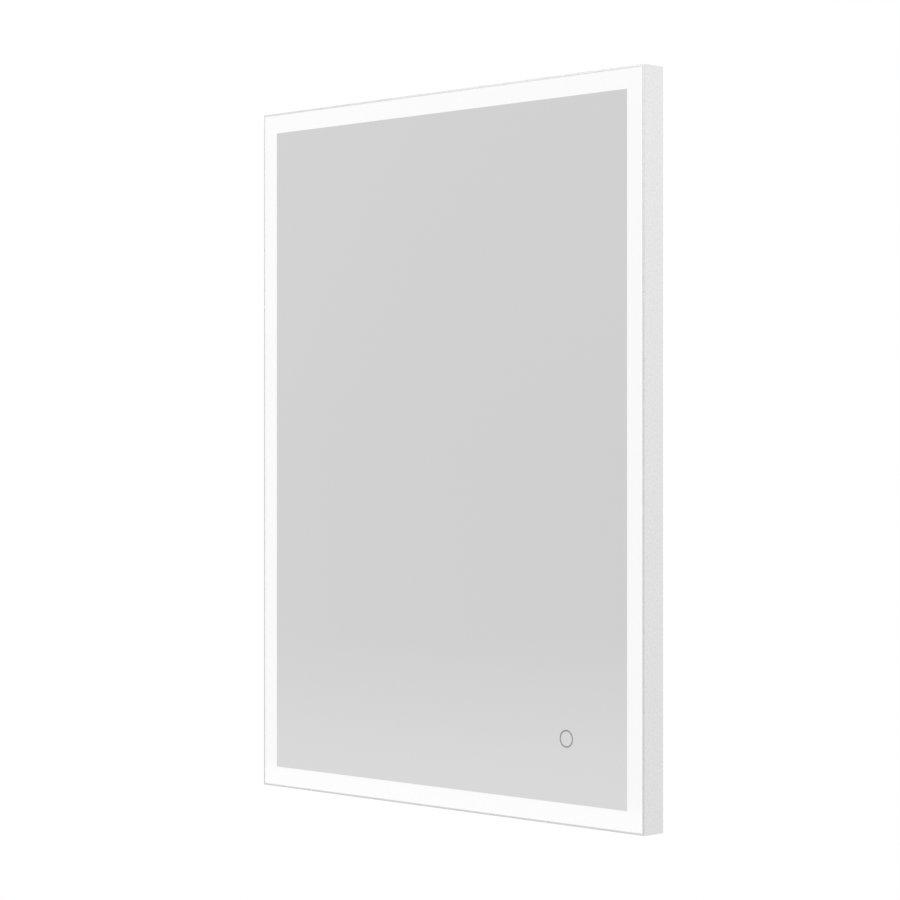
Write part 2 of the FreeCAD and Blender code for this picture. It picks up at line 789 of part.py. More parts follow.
def channel_rail(side):
    """A folded rail behind the lit band: a border, a wall that closes the light channel, and a foot."""
    rail = mitred_rail(side, [
        (rail_edge, rail_rear),
        (well_inner, rail_rear),
        (well_inner, foot_rear),
        (foot_inner, foot_rear),
        (foot_inner, well_floor),
        (well_outer, well_floor),
        (well_outer, rail_front),
        (rail_edge, rail_front),
    ])
    outside = BEND_RADIUS + PANEL_SHEET
    rail = rail_bend(rail, side, well_inner, rail_rear, outside)
    rail = rail_bend(rail, side, well_outer, rail_front, BEND_RADIUS)
    rail = rail_bend(rail, side, well_inner, foot_rear, BEND_RADIUS)
    rail = rail_bend(rail, side, well_outer, well_floor, outside)
    holes = [post(x, z, screw_hole, rail_rear - OVERCUT, rail_front + OVERCUT)
             for x, z in panel_screw_places()[side]]
    if side == "right":
        holes.append(bar_across(RIGHT - well_inner - OVERCUT, RIGHT - well_outer + OVERCUT, feed_depth,
                                feed_z(), grommet_neck))
    return cut_all(rail, holes)


def back_panel():
    """The flat sheet between the rails that carries the pane in front and the service pieces behind."""
    panel = rounded(inset_plate(well_outer, well_floor, diffuser_back), PANEL_CORNER)
    low, high = well_floor - OVERCUT, diffuser_back + OVERCUT
    holes = [post(x, z, thread_hole, low, high) for x, z in box_screw_places()]
    holes += [post(x, z, thread_hole, low, high) for x, z in driver_screw_places()]
    holes += [post(x, z, RIVET_RADIUS + THREAD_GAP, low, high)
              for hanger_x in hanger_places() for x, z in rivet_places(hanger_x)]
    holes.append(plate(ring_x, ring_z, SENSOR_WIDTH + 2 * WINDOW_CLEARANCE,
                       SENSOR_HEIGHT + 2 * WINDOW_CLEARANCE, low, high))
    holes.append(plate(connector_x, connector_z, CONNECTOR_WIDTH + 2 * WINDOW_CLEARANCE,
                       CONNECTOR_HEIGHT + 2 * WINDOW_CLEARANCE, low, high))
    return cut_all(panel, holes)


def panel_screws():
    """The screws that hold the rails' borders to the frame's flange."""
    length = PANEL_SHEET + FLANGE_THICKNESS + SCREW_POINT
    return [screw(x, z, rail_rear, length)
            for places in panel_screw_places().values() for x, z in places]


def mounting_tapes():
    """Four strips of foam tape between the panel and the silvering."""
    outer = diffuser_inner + TAPE_INSET
    inner = outer + TAPE_WIDTH
    butt = inner + TAPE_CORNER_GAP
    x_in, z_top, z_low = RIGHT - inner, TOP - butt, BOTTOM + butt
    x_out = RIGHT - outer
    return [
        block(LEFT + outer, x_out, diffuser_back, silver_back, TOP - inner, TOP - outer),
        block(LEFT + outer, x_out, diffuser_back, silver_back, BOTTOM + outer, BOTTOM + inner),
        block(-x_out, -x_in, diffuser_back, silver_back, z_low, z_top),
        block(x_in, x_out, diffuser_back, silver_back, z_low, z_top),
    ]


# ---------------------------------------------------------------- demister and touch sensor


def demister_pad():
    """The heating film on the back of the silvering."""
    return rounded(plate(0, pad_z, PAD_WIDTH, PAD_HEIGHT, pad_back, silver_back), PAD_CORNER)


def demister_connector():
    """The moulded cover over the film's solder joints, standing through the panel's cut-out."""
    body = plate(connector_x, connector_z, CONNECTOR_WIDTH, CONNECTOR_HEIGHT, connector_rear, pad_back)
    return rounded(body, CONNECTOR_CORNER)


def sensor_housing():
    """A shallow box open towards the glass, with a ledge that carries the board."""
    body = plate(ring_x, ring_z, SENSOR_WIDTH, SENSOR_HEIGHT, sensor_rear, sensor_front)
    pocket_width = SENSOR_WIDTH - 2 * SENSOR_WALL
    pocket_height = SENSOR_HEIGHT - 2 * SENSOR_WALL
    pocket = plate(ring_x, ring_z, pocket_width, pocket_height, sensor_board_rear, sensor_front + OVERCUT)
    cavity = plate(ring_x, ring_z, pocket_width - 2 * SENSOR_LEDGE, pocket_height - 2 * SENSOR_LEDGE,
                   sensor_rear + SENSOR_WALL, sensor_front)
    return cut_all(rounded(body, SENSOR_CORNER), [pocket, cavity])


def sensor_board():
    """The sensor's board with its chip, its relay and the round electrode that faces the ring."""
    margin = 2 * (SENSOR_WALL + SENSOR_BOARD_GAP)
    pieces = [plate(ring_x, ring_z, SENSOR_WIDTH - margin, SENSOR_HEIGHT - margin, sensor_board_rear,
                    sensor_board_front)]
    for across, up, width, height, stand in (SENSOR_CHIP, SENSOR_RELAY):
        pieces.append(plate(ring_x + across, ring_z + up, width, height, sensor_board_rear - stand,
                            sensor_board_rear))
    pieces.append(post(ring_x, ring_z, ELECTRODE_RADIUS, sensor_board_front, sensor_front + ELECTRODE_STAND))
    return join(pieces)


def sensor_tape():
    """The adhesive pad between the sensor and the glass, open over the electrode."""
    pad = plate(ring_x, ring_z, SENSOR_WIDTH, SENSOR_HEIGHT, sensor_front, silver_back)
    opening = post(ring_x, ring_z, ELECTRODE_RADIUS + ELECTRODE_GAP, sensor_front - OVERCUT,
                   silver_back + OVERCUT)
    return rounded(pad, SENSOR_CORNER).cut(opening)


# ---------------------------------------------------------------- LED driver


def driver_shell(depth0, depth1, cavity0, cavity1):
    """A rounded box over the driver's outline between two depths, hollowed between two others."""
    outside = plate(driver_x, driver_z, DRIVER_LENGTH, DRIVER_WIDTH, depth0, depth1)
    inside = plate(driver_x, driver_z, DRIVER_LENGTH - 2 * DRIVER_WALL, DRIVER_WIDTH - 2 * DRIVER_WALL,
                   cavity0, cavity1)
    return rounded(outside, DRIVER_CORNER).cut(rounded(inside, DRIVER_CORNER - DRIVER_WALL))


def driver_post_places():
    """Places of the four posts under the driver's board."""
    return [(x, z)
            for x in (driver_left + DRIVER_POST_FROM_END, driver_right - DRIVER_POST_FROM_END)
            for z in (driver_bottom + DRIVER_POST_FROM_SIDE, driver_top - DRIVER_POST_FROM_SIDE)]


def driver_tray():
    """The driver's base on the panel, with board posts and an end lug each way."""
    pieces = [driver_shell(driver_split, well_floor, driver_split - OVERCUT, driver_base)]
    for x, z in driver_screw_places():
        toward = 1 if x < driver_x else -1
        pieces.append(plate(x + toward * LAP, z, LUG_LENGTH + 2 * LAP, LUG_WIDTH, driver_base, well_floor))
    pieces += [post(x, z, DRIVER_POST_RADIUS, board_front, driver_base + LAP)
               for x, z in driver_post_places()]
    holes = [post(x, z, screw_hole, driver_split, well_floor + OVERCUT) for x, z in driver_screw_places()]
    return cut_all(join(pieces), holes)


def driver_cover():
    """The driver's cover, a thin shell on the tray's rim with cooling slots in its back."""
    inner = DRIVER_REAR + DRIVER_WALL
    shell = driver_shell(DRIVER_REAR, driver_split, inner, driver_split + OVERCUT)
    first = driver_left + VENT_FROM_END
    slots = [plate(first + i * VENT_PITCH, driver_z, VENT_WIDTH, DRIVER_WIDTH - 2 * VENT_FROM_SIDE,
                   DRIVER_REAR - OVERCUT, inner + OVERCUT)
             for i in range(VENT_COUNT)]
    return cut_all(shell, slots)


def driver_board():
    """The driver's board with its transformer, coil, heat sink, capacitors and end terminals."""
    margin = 2 * (DRIVER_WALL + BOARD_CLEARANCE)
    length = DRIVER_LENGTH - margin
    tall = DRIVER_REAR + DRIVER_WALL + TALL_PART_GAP
    low = tall + LOW_PART_STEP
    parts = [plate(driver_x, driver_z, length, DRIVER_WIDTH - margin, board_rear, board_front)]
    for (across, up, width, height), rear in ((TRANSFORMER, tall), (HEAT_SINK, tall), (FILTER_COIL, low)):
        parts.append(plate(driver_x + across, driver_z + up, width, height, rear, board_rear))
    reach = length / 2 - END_TERMINAL_INSET - END_TERMINAL_LENGTH / 2
    for side in (-1, 1):
        parts.append(plate(driver_x + side * reach, driver_z, END_TERMINAL_LENGTH, END_TERMINAL_HEIGHT,
                           low, board_rear))
        parts += [post(driver_x + across, driver_z + side * off, radius, tall, board_rear)
                  for across, off, radius in CAPACITOR_PAIRS]
    return join(parts)


def driver_screws():
    """The two screws through the driver's lugs."""
    length = DRIVER_WALL + PANEL_SHEET + SCREW_POINT
    return [screw(x, z, driver_base, length) for x, z in driver_screw_places()]


# ---------------------------------------------------------------- terminal box


def ear_spans():
    """Spans across of the hinge ears, one at each end of the hinge."""
    outer, inner = HINGE_HALF_SPAN, HINGE_HALF_SPAN - EAR_THICKNESS
    return [(box_x - outer, box_x - inner), (box_x + inner, box_x + outer)]


def knuckle_spans():
    """Spans across of the lid's two knuckles, just inside the ears."""
    outer = HINGE_HALF_SPAN - EAR_THICKNESS - EAR_GAP
    inner = outer - KNUCKLE_LENGTH
    return [(box_x - outer, box_x - inner), (box_x + inner, box_x + outer)]


def clamp_places():
    """Places of the two clamp screws, above and below the cord."""
    return [(clamp_x, box_z - CLAMP_SCREW_SPACING / 2), (clamp_x, box_z + CLAMP_SCREW_SPACING / 2)]


def pole_places():
    """Heights of the terminal block's poles, from the lowest up."""
    half = (POLES - 1) / 2
    return [box_z + (i - half) * POLE_PITCH for i in range(POLES)]


def lead_exit_z():
    """Height at which the driver's lead leaves the box, between its two poles."""
    return (pole_places()[-1] + pole_places()[-2]) / 2


def terminal_box_base():
    """The box's base with its bosses, clamp posts, hinge ears and openings for inlet and leads."""
    shell = rounded(plate(box_x, box_z, BOX_WIDTH, BOX_HEIGHT, BOX_REAR, well_floor), BOX_CORNER)
    cavity = plate(box_x, box_z, BOX_WIDTH - 2 * BOX_WALL, BOX_HEIGHT - 2 * BOX_WALL,
                   BOX_REAR - OVERCUT, box_floor)
    pieces = [shell.cut(rounded(cavity, BOX_CORNER - BOX_WALL))]
    for low, high in ear_spans():
        pieces.append(bar_across(low, high, HINGE_DEPTH, hinge_z, KNUCKLE_RADIUS))
        pieces.append(block(low, high, HINGE_DEPTH - KNUCKLE_RADIUS, HINGE_DEPTH + KNUCKLE_RADIUS,
                            box_top - BOX_WALL / 2, hinge_z))
    for x, z in clamp_places():
        pieces.append(plate(x, z, CLAMP_WIDTH, CLAMP_WIDTH, clamp_seat, box_floor + LAP))
    pieces.append(plate(clamp_x, box_z, SADDLE_WIDTH, CLAMP_SCREW_SPACING, box_floor - SADDLE_HEIGHT,
                        box_floor + LAP))
    pieces += [post(x, z, BOSS_RADIUS, box_floor - BOSS_HEIGHT, box_floor + LAP)
               for x, z in box_screw_places()]
    holes = [bar_across(low - OVERCUT, high + OVERCUT, HINGE_DEPTH, hinge_z, PIN_RADIUS + THREAD_GAP)
             for low, high in ear_spans()]
    holes += [post(x, z, screw_hole, 0, well_floor + OVERCUT) for x, z in box_screw_places()]
    holes += [post(x, z, thread_hole, 0, clamp_seat + CLAMP_HOLE_DEPTH) for x, z in clamp_places()]
    holes.append(bar_across(box_left - OVERCUT, box_left + BOX_WALL + OVERCUT, cord_depth, box_z,
                            INLET_NECK + LEAD_GAP))
    wall = (box_right - BOX_WALL - OVERCUT, box_right + OVERCUT)
    holes.append(bar_across(*wall, entry_depth, lead_exit_z(), LEAD_RADIUS + LEAD_HOLE_GAP))
    holes.append(bar_across(*wall, entry_depth, pole_places()[0], EARTH_WIRE_RADIUS + LEAD_HOLE_GAP))
    return cut_all(join(pieces), holes)


def terminal_box_lid():
    """The lid with two knuckles on its top edge, their opening stops and a finger tab below."""
    outer = BOX_REAR - LID_GAP
    inner = outer - LID_THICKNESS
    top = hinge_z + KNUCKLE_RADIUS - LID_THICKNESS / 2
    panel = block(box_left, box_right, inner, outer, box_bottom - TAB_GAP - TAB_THICKNESS, box_top)
    pieces = [rounded(panel, BOX_CORNER)]
    pieces.append(block(box_x - TAB_HALF_WIDTH, box_x + TAB_HALF_WIDTH, inner, outer + TAB_REACH,
                        box_bottom - TAB_GAP - TAB_THICKNESS, box_bottom - TAB_GAP))
    sine = -(HINGE_RISE - STOP_RADIUS) / STOP_ARM
    touch = 180 - math.degrees(math.asin(sine))
    arm = math.radians(touch - LID_OPEN_ANGLE - STOP_MARGIN)
    stop = V(0, STOP_ARM * math.cos(arm), STOP_ARM * math.sin(arm))
    for low, high in knuckle_spans():
        centre = V(low, -HINGE_DEPTH, hinge_z)
        pieces.append(bar_across(low, high, HINGE_DEPTH, hinge_z, KNUCKLE_RADIUS))
        pieces.append(block(low, high, inner, HINGE_DEPTH, hinge_z - KNUCKLE_RADIUS / 2, top))
        pieces.append(block(low, high, inner, outer, box_top - BOX_CORNER, top))
        pieces.append(Part.makeCylinder(STOP_RADIUS, high - low, centre + stop, V(1, 0, 0)))
        across = V(0, -stop.z, stop.y).normalize() * STOP_RADIUS
        web = closed_face([centre + across, centre + stop + across, centre + stop - across,
                           centre - across])
        pieces.append(web.extrude(V(high - low, 0, 0)))
    bores = [bar_across(low - OVERCUT, high + OVERCUT, HINGE_DEPTH, hinge_z, PIN_RADIUS + PIN_CLEARANCE)
             for low, high in knuckle_spans()]
    return cut_all(join(pieces), bores)


def lid_hinge_pin():
    """The steel pin held in the ears, on which the lid turns."""
    return bar_across(box_x - HINGE_HALF_SPAN, box_x + HINGE_HALF_SPAN, HINGE_DEPTH, hinge_z, PIN_RADIUS)


def terminal_block():
    """The three-pole block: wire entries from both sides and screw wells from the back."""
    height = POLES * POLE_PITCH + 2 * BLOCK_END
    body = plate(block_x, box_z, BLOCK_WIDTH, height, block_rear, box_floor)
    grooves = [
        plate(block_x, box_z + (i - (POLES - 2) / 2) * POLE_PITCH, BLOCK_WIDTH + OVERCUT, BLOCK_GROOVE,
              block_rear - OVERCUT, block_rear + BLOCK_DEPTH / 3)
        for i in range(POLES - 1)
    ]
    half = BLOCK_WIDTH / 2
    entries = [bar_across(block_x - half - OVERCUT, block_x + half + OVERCUT, entry_depth, z, ENTRY_RADIUS)
               for z in pole_places()]
    wells = [post(block_x + side * half / 2, z, WELL_RADIUS, block_rear - OVERCUT, entry_depth)
             for z in pole_places() for side in (-1, 1)]
    return cut_all(body, grooves + entries + wells)


def terminal_screws():
    """Six slotted brass screws in the block's wells, standing on the clamped wire."""
    screws = []
    for z in pole_places():
        for side in (-1, 1):
            x = block_x + side * BLOCK_WIDTH / 4
            head = block_rear + TERMINAL_SCREW_SINK
            shank = post(x, z, TERMINAL_SCREW_RADIUS, head, head + TERMINAL_SCREW_LENGTH)
            slot = plate(x, z, 2 * WELL_RADIUS, TERMINAL_SLOT, head - OVERCUT, head + OVERCUT)
            screws.append(shank.cut(slot))
    return screws


def inlet_grommet():
    """The rubber grommet in the box's left wall, where the mains cord comes in."""
    outside = bar_across(box_left - INLET_FLANGE_THICKNESS, box_left, cord_depth, box_z, INLET_FLANGE)
    inner_face = box_left + BOX_WALL
    neck = bar_across(box_left - LAP, inner_face + LAP, cord_depth, box_z, INLET_NECK)
    inside = bar_across(inner_face, inner_face + INLET_FLANGE_THICKNESS, cord_depth, box_z, INLET_FLANGE)
    reach = INLET_FLANGE_THICKNESS + OVERCUT
    bore = bar_across(box_left - reach, inner_face + reach, cord_depth, box_z, INLET_RADIUS)
    return join([outside, neck, inside]).cut(bore)


def cord_clamp():
    """The bar that its two screws pull down on the mains cord."""
    bar = plate(clamp_x, box_z, CLAMP_WIDTH, CLAMP_LENGTH, clamp_seat - CLAMP_BAR, clamp_seat)
    holes = [post(x, z, screw_hole, 0, clamp_seat + OVERCUT) for x, z in clamp_places()]
    return cut_all(rounded(bar, CLAMP_CORNER), holes)


def cord_clamp_screws():
    """The clamp's two screws."""
    length = CLAMP_BAR + CLAMP_SCREW_GRIP
    return [screw(x, z, clamp_seat - CLAMP_BAR, length) for x, z in clamp_places()]


def box_screws():
    """The two screws through the box's bosses into the panel."""
    length = BOSS_HEIGHT + BOX_WALL + PANEL_SHEET + SCREW_POINT
    return [screw(x, z, box_floor - BOSS_HEIGHT, length) for x, z in box_screw_places()]


# ---------------------------------------------------------------- leads


def box_wires():
    """The live and neutral cores from the block to the end of the driver lead's sheath."""
    block_side = block_x + BLOCK_WIDTH / 2
    sheath_end = box_right - BOX_WALL - SHEATH_INSIDE
    cores = []
    for sign, z in ((1, pole_places()[-1]), (-1, pole_places()[-2])):
        join_z = lead_exit_z() + sign * (CORE_RADIUS + LEAD_GAP)
        points = [
            (block_side - CORE_IN_BLOCK, entry_depth, z),
            (block_side + CORE_STRAIGHT, entry_depth, z),
            (sheath_end - CORE_STRAIGHT, entry_depth, join_z),
            (sheath_end, entry_depth, join_z),
        ]
        cores.append(tube("box_wire", points, CORE_RADIUS))
    return cores


def mains_lead_points():
    """Route of the lead from the terminal box down to the driver's left end."""
    entry_z = driver_z - DRIVER_ENTRY_OFFSET
    return [
        (box_right - BOX_WALL - SHEATH_INSIDE, entry_depth, lead_exit_z()),
        (box_right + BOX_EXIT_RUN, entry_depth, lead_exit_z()),
        (mains_drop_x, lead_depth, lead_exit_z() - BOX_EXIT_DROP),
        (mains_drop_x, lead_depth, entry_z + MAINS_TURN_RISE),
        (mains_drop_x + MAINS_TURN_ACROSS, lead_depth, entry_z),
        (driver_left, lead_depth, entry_z),
    ]


def output_lead_points():
    """Route of the lead from the driver's right end down to the touch sensor."""
    exit_z = driver_z + DRIVER_ENTRY_OFFSET
    return [
        (driver_right, lead_depth, exit_z),
        (ring_x - OUTPUT_TURN_ACROSS, lead_depth, exit_z),
        (ring_x, lead_depth, exit_z - OUTPUT_TURN_DROP),
        (ring_x, lead_depth, ring_z + SENSOR_HEIGHT / 2),
    ]


def demister_lead_points():
    """Route of the lead from the driver's top side up to the demister pad's connector."""
    start_x = driver_right - DEMISTER_EXIT_FROM_END
    third = (connector_low - driver_top) / 3
    return [
        (start_x, lead_depth, driver_top),
        (start_x, lead_depth, driver_top + third),
        (connector_x, lead_depth, connector_low - third),
        (connector_x, lead_depth, connector_low),
    ]


def feed_lead_points():
    """Route of the lead from the touch sensor through the rail's wall to the right strip."""
    side = ring_x + SENSOR_WIDTH / 2
    start_depth = well_floor - CLIP_BASE - FEED_RADIUS
    return [
        (side, start_depth, ring_z),
        (side + FEED_RUN, start_depth, ring_z),
        (RIGHT - well_inner - FEED_RUN, feed_depth, feed_z()),
        (RIGHT - strip_face, feed_depth, feed_z()),
    ]


def earth_lead_points():
    """Route of the earth wire from the block through the box's wall to the lug's barrel."""
    z = pole_places()[0]
    barrel_end = barrel_start + BARREL_LENGTH
    return [
        (block_x + BLOCK_WIDTH / 2 - CORE_IN_BLOCK, entry_depth, z),
        (box_right + BOX_EXIT_RUN, entry_depth, z),
        (stud_x, barrel_depth, barrel_end + EARTH_RUN),
        (stud_x, barrel_depth, barrel_end),
    ]


def channel_grommet():
    """The rubber grommet round the feed lead in the rail's wall."""
    inner_face = RIGHT - well_inner
    outer_face = RIGHT - well_outer
    low, high = inner_face - GROMMET_LIP_THICKNESS, outer_face + GROMMET_LIP_THICKNESS
    z = feed_z()
    lip = grommet_neck + GROMMET_LIP
    pieces = [
        bar_across(low, inner_face, feed_depth, z, lip),
        bar_across(inner_face, outer_face, feed_depth, z, grommet_neck - GROMMET_SEAT_GAP),
        bar_across(outer_face, high, feed_depth, z, lip),
    ]
    return join(pieces).cut(bar_across(low - OVERCUT, high + OVERCUT, feed_depth, z, FEED_RADIUS + LEAD_GAP))


def saddle(x, z):
    """An adhesive saddle clip over a lead that runs up the panel."""
    foot = plate(x, z, 2 * (LEAD_RADIUS + CLIP_WALL + CLIP_FOOT), CLIP_LENGTH,
                 well_floor - CLIP_BASE, well_floor)
    crown = LEAD_RADIUS + CLIP_WALL
    arch = plate(x, z, 2 * crown, CLIP_LENGTH, lead_depth, well_floor - CLIP_BASE)
    low_end = V(x, -lead_depth, z - CLIP_LENGTH / 2)
    bow = Part.makeCylinder(crown, CLIP_LENGTH, low_end, V(0, 0, 1))
    bow = bow.common(plate(x, z, 2 * crown, CLIP_LENGTH, lead_depth - crown, lead_depth))
    lane = Part.makeCylinder(LEAD_RADIUS + LEAD_GAP / 2, CLIP_LENGTH, low_end, V(0, 0, 1))
    return join([rounded(foot, CLIP_CORNER), arch, bow]).cut(lane)


def cable_clips():
    """Saddle clips on the upright runs of the driver's leads."""
    mains = (driver_top + CLIP_ABOVE_DRIVER, lead_exit_z() - CLIP_BELOW_BOX_EXIT)
    lowest = ring_z + SENSOR_HEIGHT / 2 + CLIP_ABOVE_SENSOR
    output = spread(lowest, driver_bottom - CLIP_BELOW_DRIVER, OUTPUT_CLIP_COUNT)
    return [saddle(mains_drop_x, z) for z in mains] + [saddle(ring_x, z) for z in output]


# ---------------------------------------------------------------- earth connection


def earth_stud():
    """The weld stud on the panel."""
    return post(stud_x, stud_z, STUD_RADIUS, well_floor - STUD_LENGTH, well_floor)


def earth_lug():
    """The ring lug: a ring on the stud and a barrel crimped on the wire."""
    rear = well_floor - LUG_PLATE
    ring = post(stud_x, stud_z, LUG_RADIUS, rear, well_floor)
    tongue = block(stud_x - barrel_radius, stud_x + barrel_radius, rear, well_floor, stud_z,
                   barrel_start + LAP)
    foot = V(stud_x, -barrel_depth, barrel_start)
    barrel = Part.makeCylinder(barrel_radius, BARREL_LENGTH, foot, V(0, 0, 1))
    hole = post(stud_x, stud_z, STUD_RADIUS + LEAD_GAP, rear - OVERCUT, well_floor + OVERCUT)
    return join([ring, tongue, barrel]).cut(hole)


def earth_washer():
    """The washer on the lug."""
    front = well_floor - LUG_PLATE
    ring = post(stud_x, stud_z, WASHER_RADIUS, front - WASHER_THICKNESS, front)
    return ring.cut(post(stud_x, stud_z, STUD_RADIUS + LEAD_GAP, 0, well_floor))


def earth_nut():
    """The nut that holds the lug down."""
    front = well_floor - LUG_PLATE - WASHER_THICKNESS
    body = hexagon(stud_x, stud_z, NUT_RADIUS, front - NUT_THICKNESS, front)
    return body.cut(post(stud_x, stud_z, STUD_RADIUS + THREAD_GAP, 0, well_floor))


# ---------------------------------------------------------------- hangers


def keyhole(x):
    """The hanging hole's cutter: a round entry and a slot that rises from it."""
    through = (-OVERCUT, HANGER_SHEET + OVERCUT)
    entry = post(x, 0, KEYHOLE_RADIUS, *through)
    slot = block(x - KEYHOLE_SLOT_RADIUS, x + KEYHOLE_SLOT_RADIUS, *through, 0, KEYHOLE_SLOT_RISE)
    end = post(x, KEYHOLE_SLOT_RISE, KEYHOLE_SLOT_RADIUS, *through)
    return [entry, slot, end]


def hanger(x):
    """A hat-section bracket that brings the keyhole out to the wall plane."""
    span = (-HANGER_BELOW, HANGER_ABOVE)
    outer = HANGER_HALF_WIDTH
    inner = outer - HANGER_SHEET
    pieces = [rounded(block(x - outer, x + outer, 0, HANGER_SHEET, *span), HANGER_CORNER)]
    for side in (-1, 1):
        web = sorted((x + side * inner, x + side * outer))
        foot = sorted((x + side * inner, x + side * (outer + HANGER_FLANGE)))
        pieces.append(block(*web, HANGER_SHEET / 2, well_floor, *span))
        pieces.append(block(*foot, well_floor - HANGER_SHEET, well_floor, *span))
    holes = [post(hole_x, z, RIVET_RADIUS + THREAD_GAP, HANGER_SHEET, well_floor + OVERCUT)
             for hole_x, z in rivet_places(x)]
    return cut_all(join(pieces), keyhole(x) + holes)


def hanger_rivets():
    """Blind rivets through the hangers' flanges and the panel."""
    rivets = []
    seat = well_floor - HANGER_SHEET
    for hanger_x in hanger_places():
        for x, z in rivet_places(hanger_x):
            head = post(x, z, RIVET_HEAD_RADIUS, seat - RIVET_HEAD_HEIGHT, seat)
            rim = [e for e in head.Edges
                   if isinstance(e.Curve, Part.Circle) and abs(e.Curve.Center.y + seat) > LAP]
            head = head.makeFillet(RIVET_CROWN, rim)
            shank = post(x, z, RIVET_RADIUS, seat - LAP, diffuser_back)
            tail = post(x, z, RIVET_TAIL_RADIUS, diffuser_back, diffuser_back + RIVET_TAIL_HEIGHT)
            rivets.append(join([head, shank, tail]))
    return rivets


# ---------------------------------------------------------------- the whole mirror


def all_nodes():
    """Every node's name with its solid, or its group of separate solids."""
    nodes = {f"frame_{side}": frame_rail(side) for side in SIDES}
    nodes["corner_keys"] = corner_keys()
    nodes["corner_screws"] = corner_screws()
    nodes["mirror_glass"] = mirror_glass()
    nodes["silvering"] = silvering()
    nodes["glass_edge_seal"] = glass_edge_seal()
    nodes.update({f"diffuser_{side}": diffuser(side) for side in SIDES})
    nodes.update({f"led_strip_{side}": led_strip(side) for side in SIDES})
    nodes["strip_jumpers"] = strip_jumpers()
    nodes.update({f"channel_rail_{side}": channel_rail(side) for side in SIDES})
    nodes["back_panel"] = back_panel()
    nodes["panel_screws"] = panel_screws()
    nodes["mounting_tapes"] = mounting_tapes()
    nodes["demister_pad"] = demister_pad()
    nodes["demister_connector"] = demister_connector()
    nodes["sensor_housing"] = sensor_housing()
    nodes["sensor_board"] = sensor_board()
    nodes["sensor_tape"] = sensor_tape()
    nodes["driver_tray"] = driver_tray()
    nodes["driver_cover"] = driver_cover()
    nodes["driver_board"] = driver_board()
    nodes["driver_screws"] = driver_screws()
    nodes["terminal_box_base"] = terminal_box_base()
    nodes["terminal_box_lid"] = terminal_box_lid()
    nodes["lid_hinge_pin"] = lid_hinge_pin()
    nodes["terminal_block"] = terminal_block()
    nodes["terminal_screws"] = terminal_screws()
    nodes["inlet_grommet"] = inlet_grommet()
    nodes["cord_clamp"] = cord_clamp()
    nodes["cord_clamp_screws"] = cord_clamp_screws()
    nodes["box_screws"] = box_screws()
    nodes["box_wires"] = box_wires()
    nodes["driver_mains_lead"] = tube("driver_mains_lead", mains_lead_points(), LEAD_RADIUS)
    nodes["driver_output_lead"] = tube("driver_output_lead", output_lead_points(), LEAD_RADIUS)
    nodes["demister_lead"] = tube("demister_lead", demister_lead_points(), LEAD_RADIUS)
    nodes["strip_feed_lead"] = tube("strip_feed_lead", feed_lead_points(), FEED_RADIUS)
    nodes["earth_lead"] = tube("earth_lead", earth_lead_points(), EARTH_WIRE_RADIUS)
    nodes["channel_grommet"] = channel_grommet()
    nodes["cable_clips"] = cable_clips()
    nodes["earth_stud"] = earth_stud()
    nodes["earth_lug"] = earth_lug()
    nodes["earth_washer"] = earth_washer()
    nodes["earth_nut"] = earth_nut()
    for x, side in zip(hanger_places(), ("left", "right")):
        nodes[f"hanger_{side}"] = hanger(x)
    nodes["hanger_rivets"] = hanger_rivets()
    return nodes


def main():
    """Write each node to its own file and say what it holds."""
    os.makedirs("parts", exist_ok=True)
    nodes = all_nodes()
    for name, shape in nodes.items():
        if isinstance(shape, list):
            shape = Part.makeCompound(shape)
        state = "valid" if shape.isValid() else "NOT VALID"
        print(f"{name}: {len(shape.Solids)} solids, {shape.Volume:.1f} mm3, {state}")
        shape.exportStep(f"parts/{name}.step")
    print(f"{len(nodes)} nodes")


main()
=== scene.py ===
"""A lighted bathroom mirror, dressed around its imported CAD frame.

Every piece is in metres in the frame of the CAD: X to the right, Z up, the wall at Y = 0
and the front of the mirror at negative Y. The origin is midway between the hanging holes.
"""

import logging
import math
from abc import ABC, abstractmethod
from dataclasses import dataclass, field
from enum import Enum
from typing import Protocol

import bmesh
import bpy
import numpy as np
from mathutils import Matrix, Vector

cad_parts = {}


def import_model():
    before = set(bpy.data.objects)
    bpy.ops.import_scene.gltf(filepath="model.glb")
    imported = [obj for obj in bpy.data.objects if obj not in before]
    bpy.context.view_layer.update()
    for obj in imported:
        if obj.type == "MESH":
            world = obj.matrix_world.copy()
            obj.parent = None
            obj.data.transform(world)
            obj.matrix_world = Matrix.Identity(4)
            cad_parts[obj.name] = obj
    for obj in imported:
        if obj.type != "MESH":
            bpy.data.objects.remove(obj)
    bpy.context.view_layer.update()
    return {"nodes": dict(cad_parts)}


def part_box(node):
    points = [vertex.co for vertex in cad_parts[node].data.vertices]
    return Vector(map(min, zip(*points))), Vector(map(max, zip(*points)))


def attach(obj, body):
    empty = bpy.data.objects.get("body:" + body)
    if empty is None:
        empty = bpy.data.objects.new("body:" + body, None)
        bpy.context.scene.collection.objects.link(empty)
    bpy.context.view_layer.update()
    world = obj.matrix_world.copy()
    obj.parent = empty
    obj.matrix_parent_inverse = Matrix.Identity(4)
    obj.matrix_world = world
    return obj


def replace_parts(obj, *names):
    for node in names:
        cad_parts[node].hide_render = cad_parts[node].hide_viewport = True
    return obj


MM = 0.001
MIRROR_BODY = "mirror_body"
FULL_TURN = 2 * math.pi
# In metres: points nearer than the first are merged, and edges shorter than the second go.
MERGE_DISTANCE = 1e-7
SLIVER = 1e-8
# Keeps a division away from zero.
TINY = 1e-9

# The points and the faces of a mesh.
Shape = tuple[np.ndarray, np.ndarray]

log = logging.getLogger("lighted_mirror")


# ---------------------------------------------------------------- surfaces


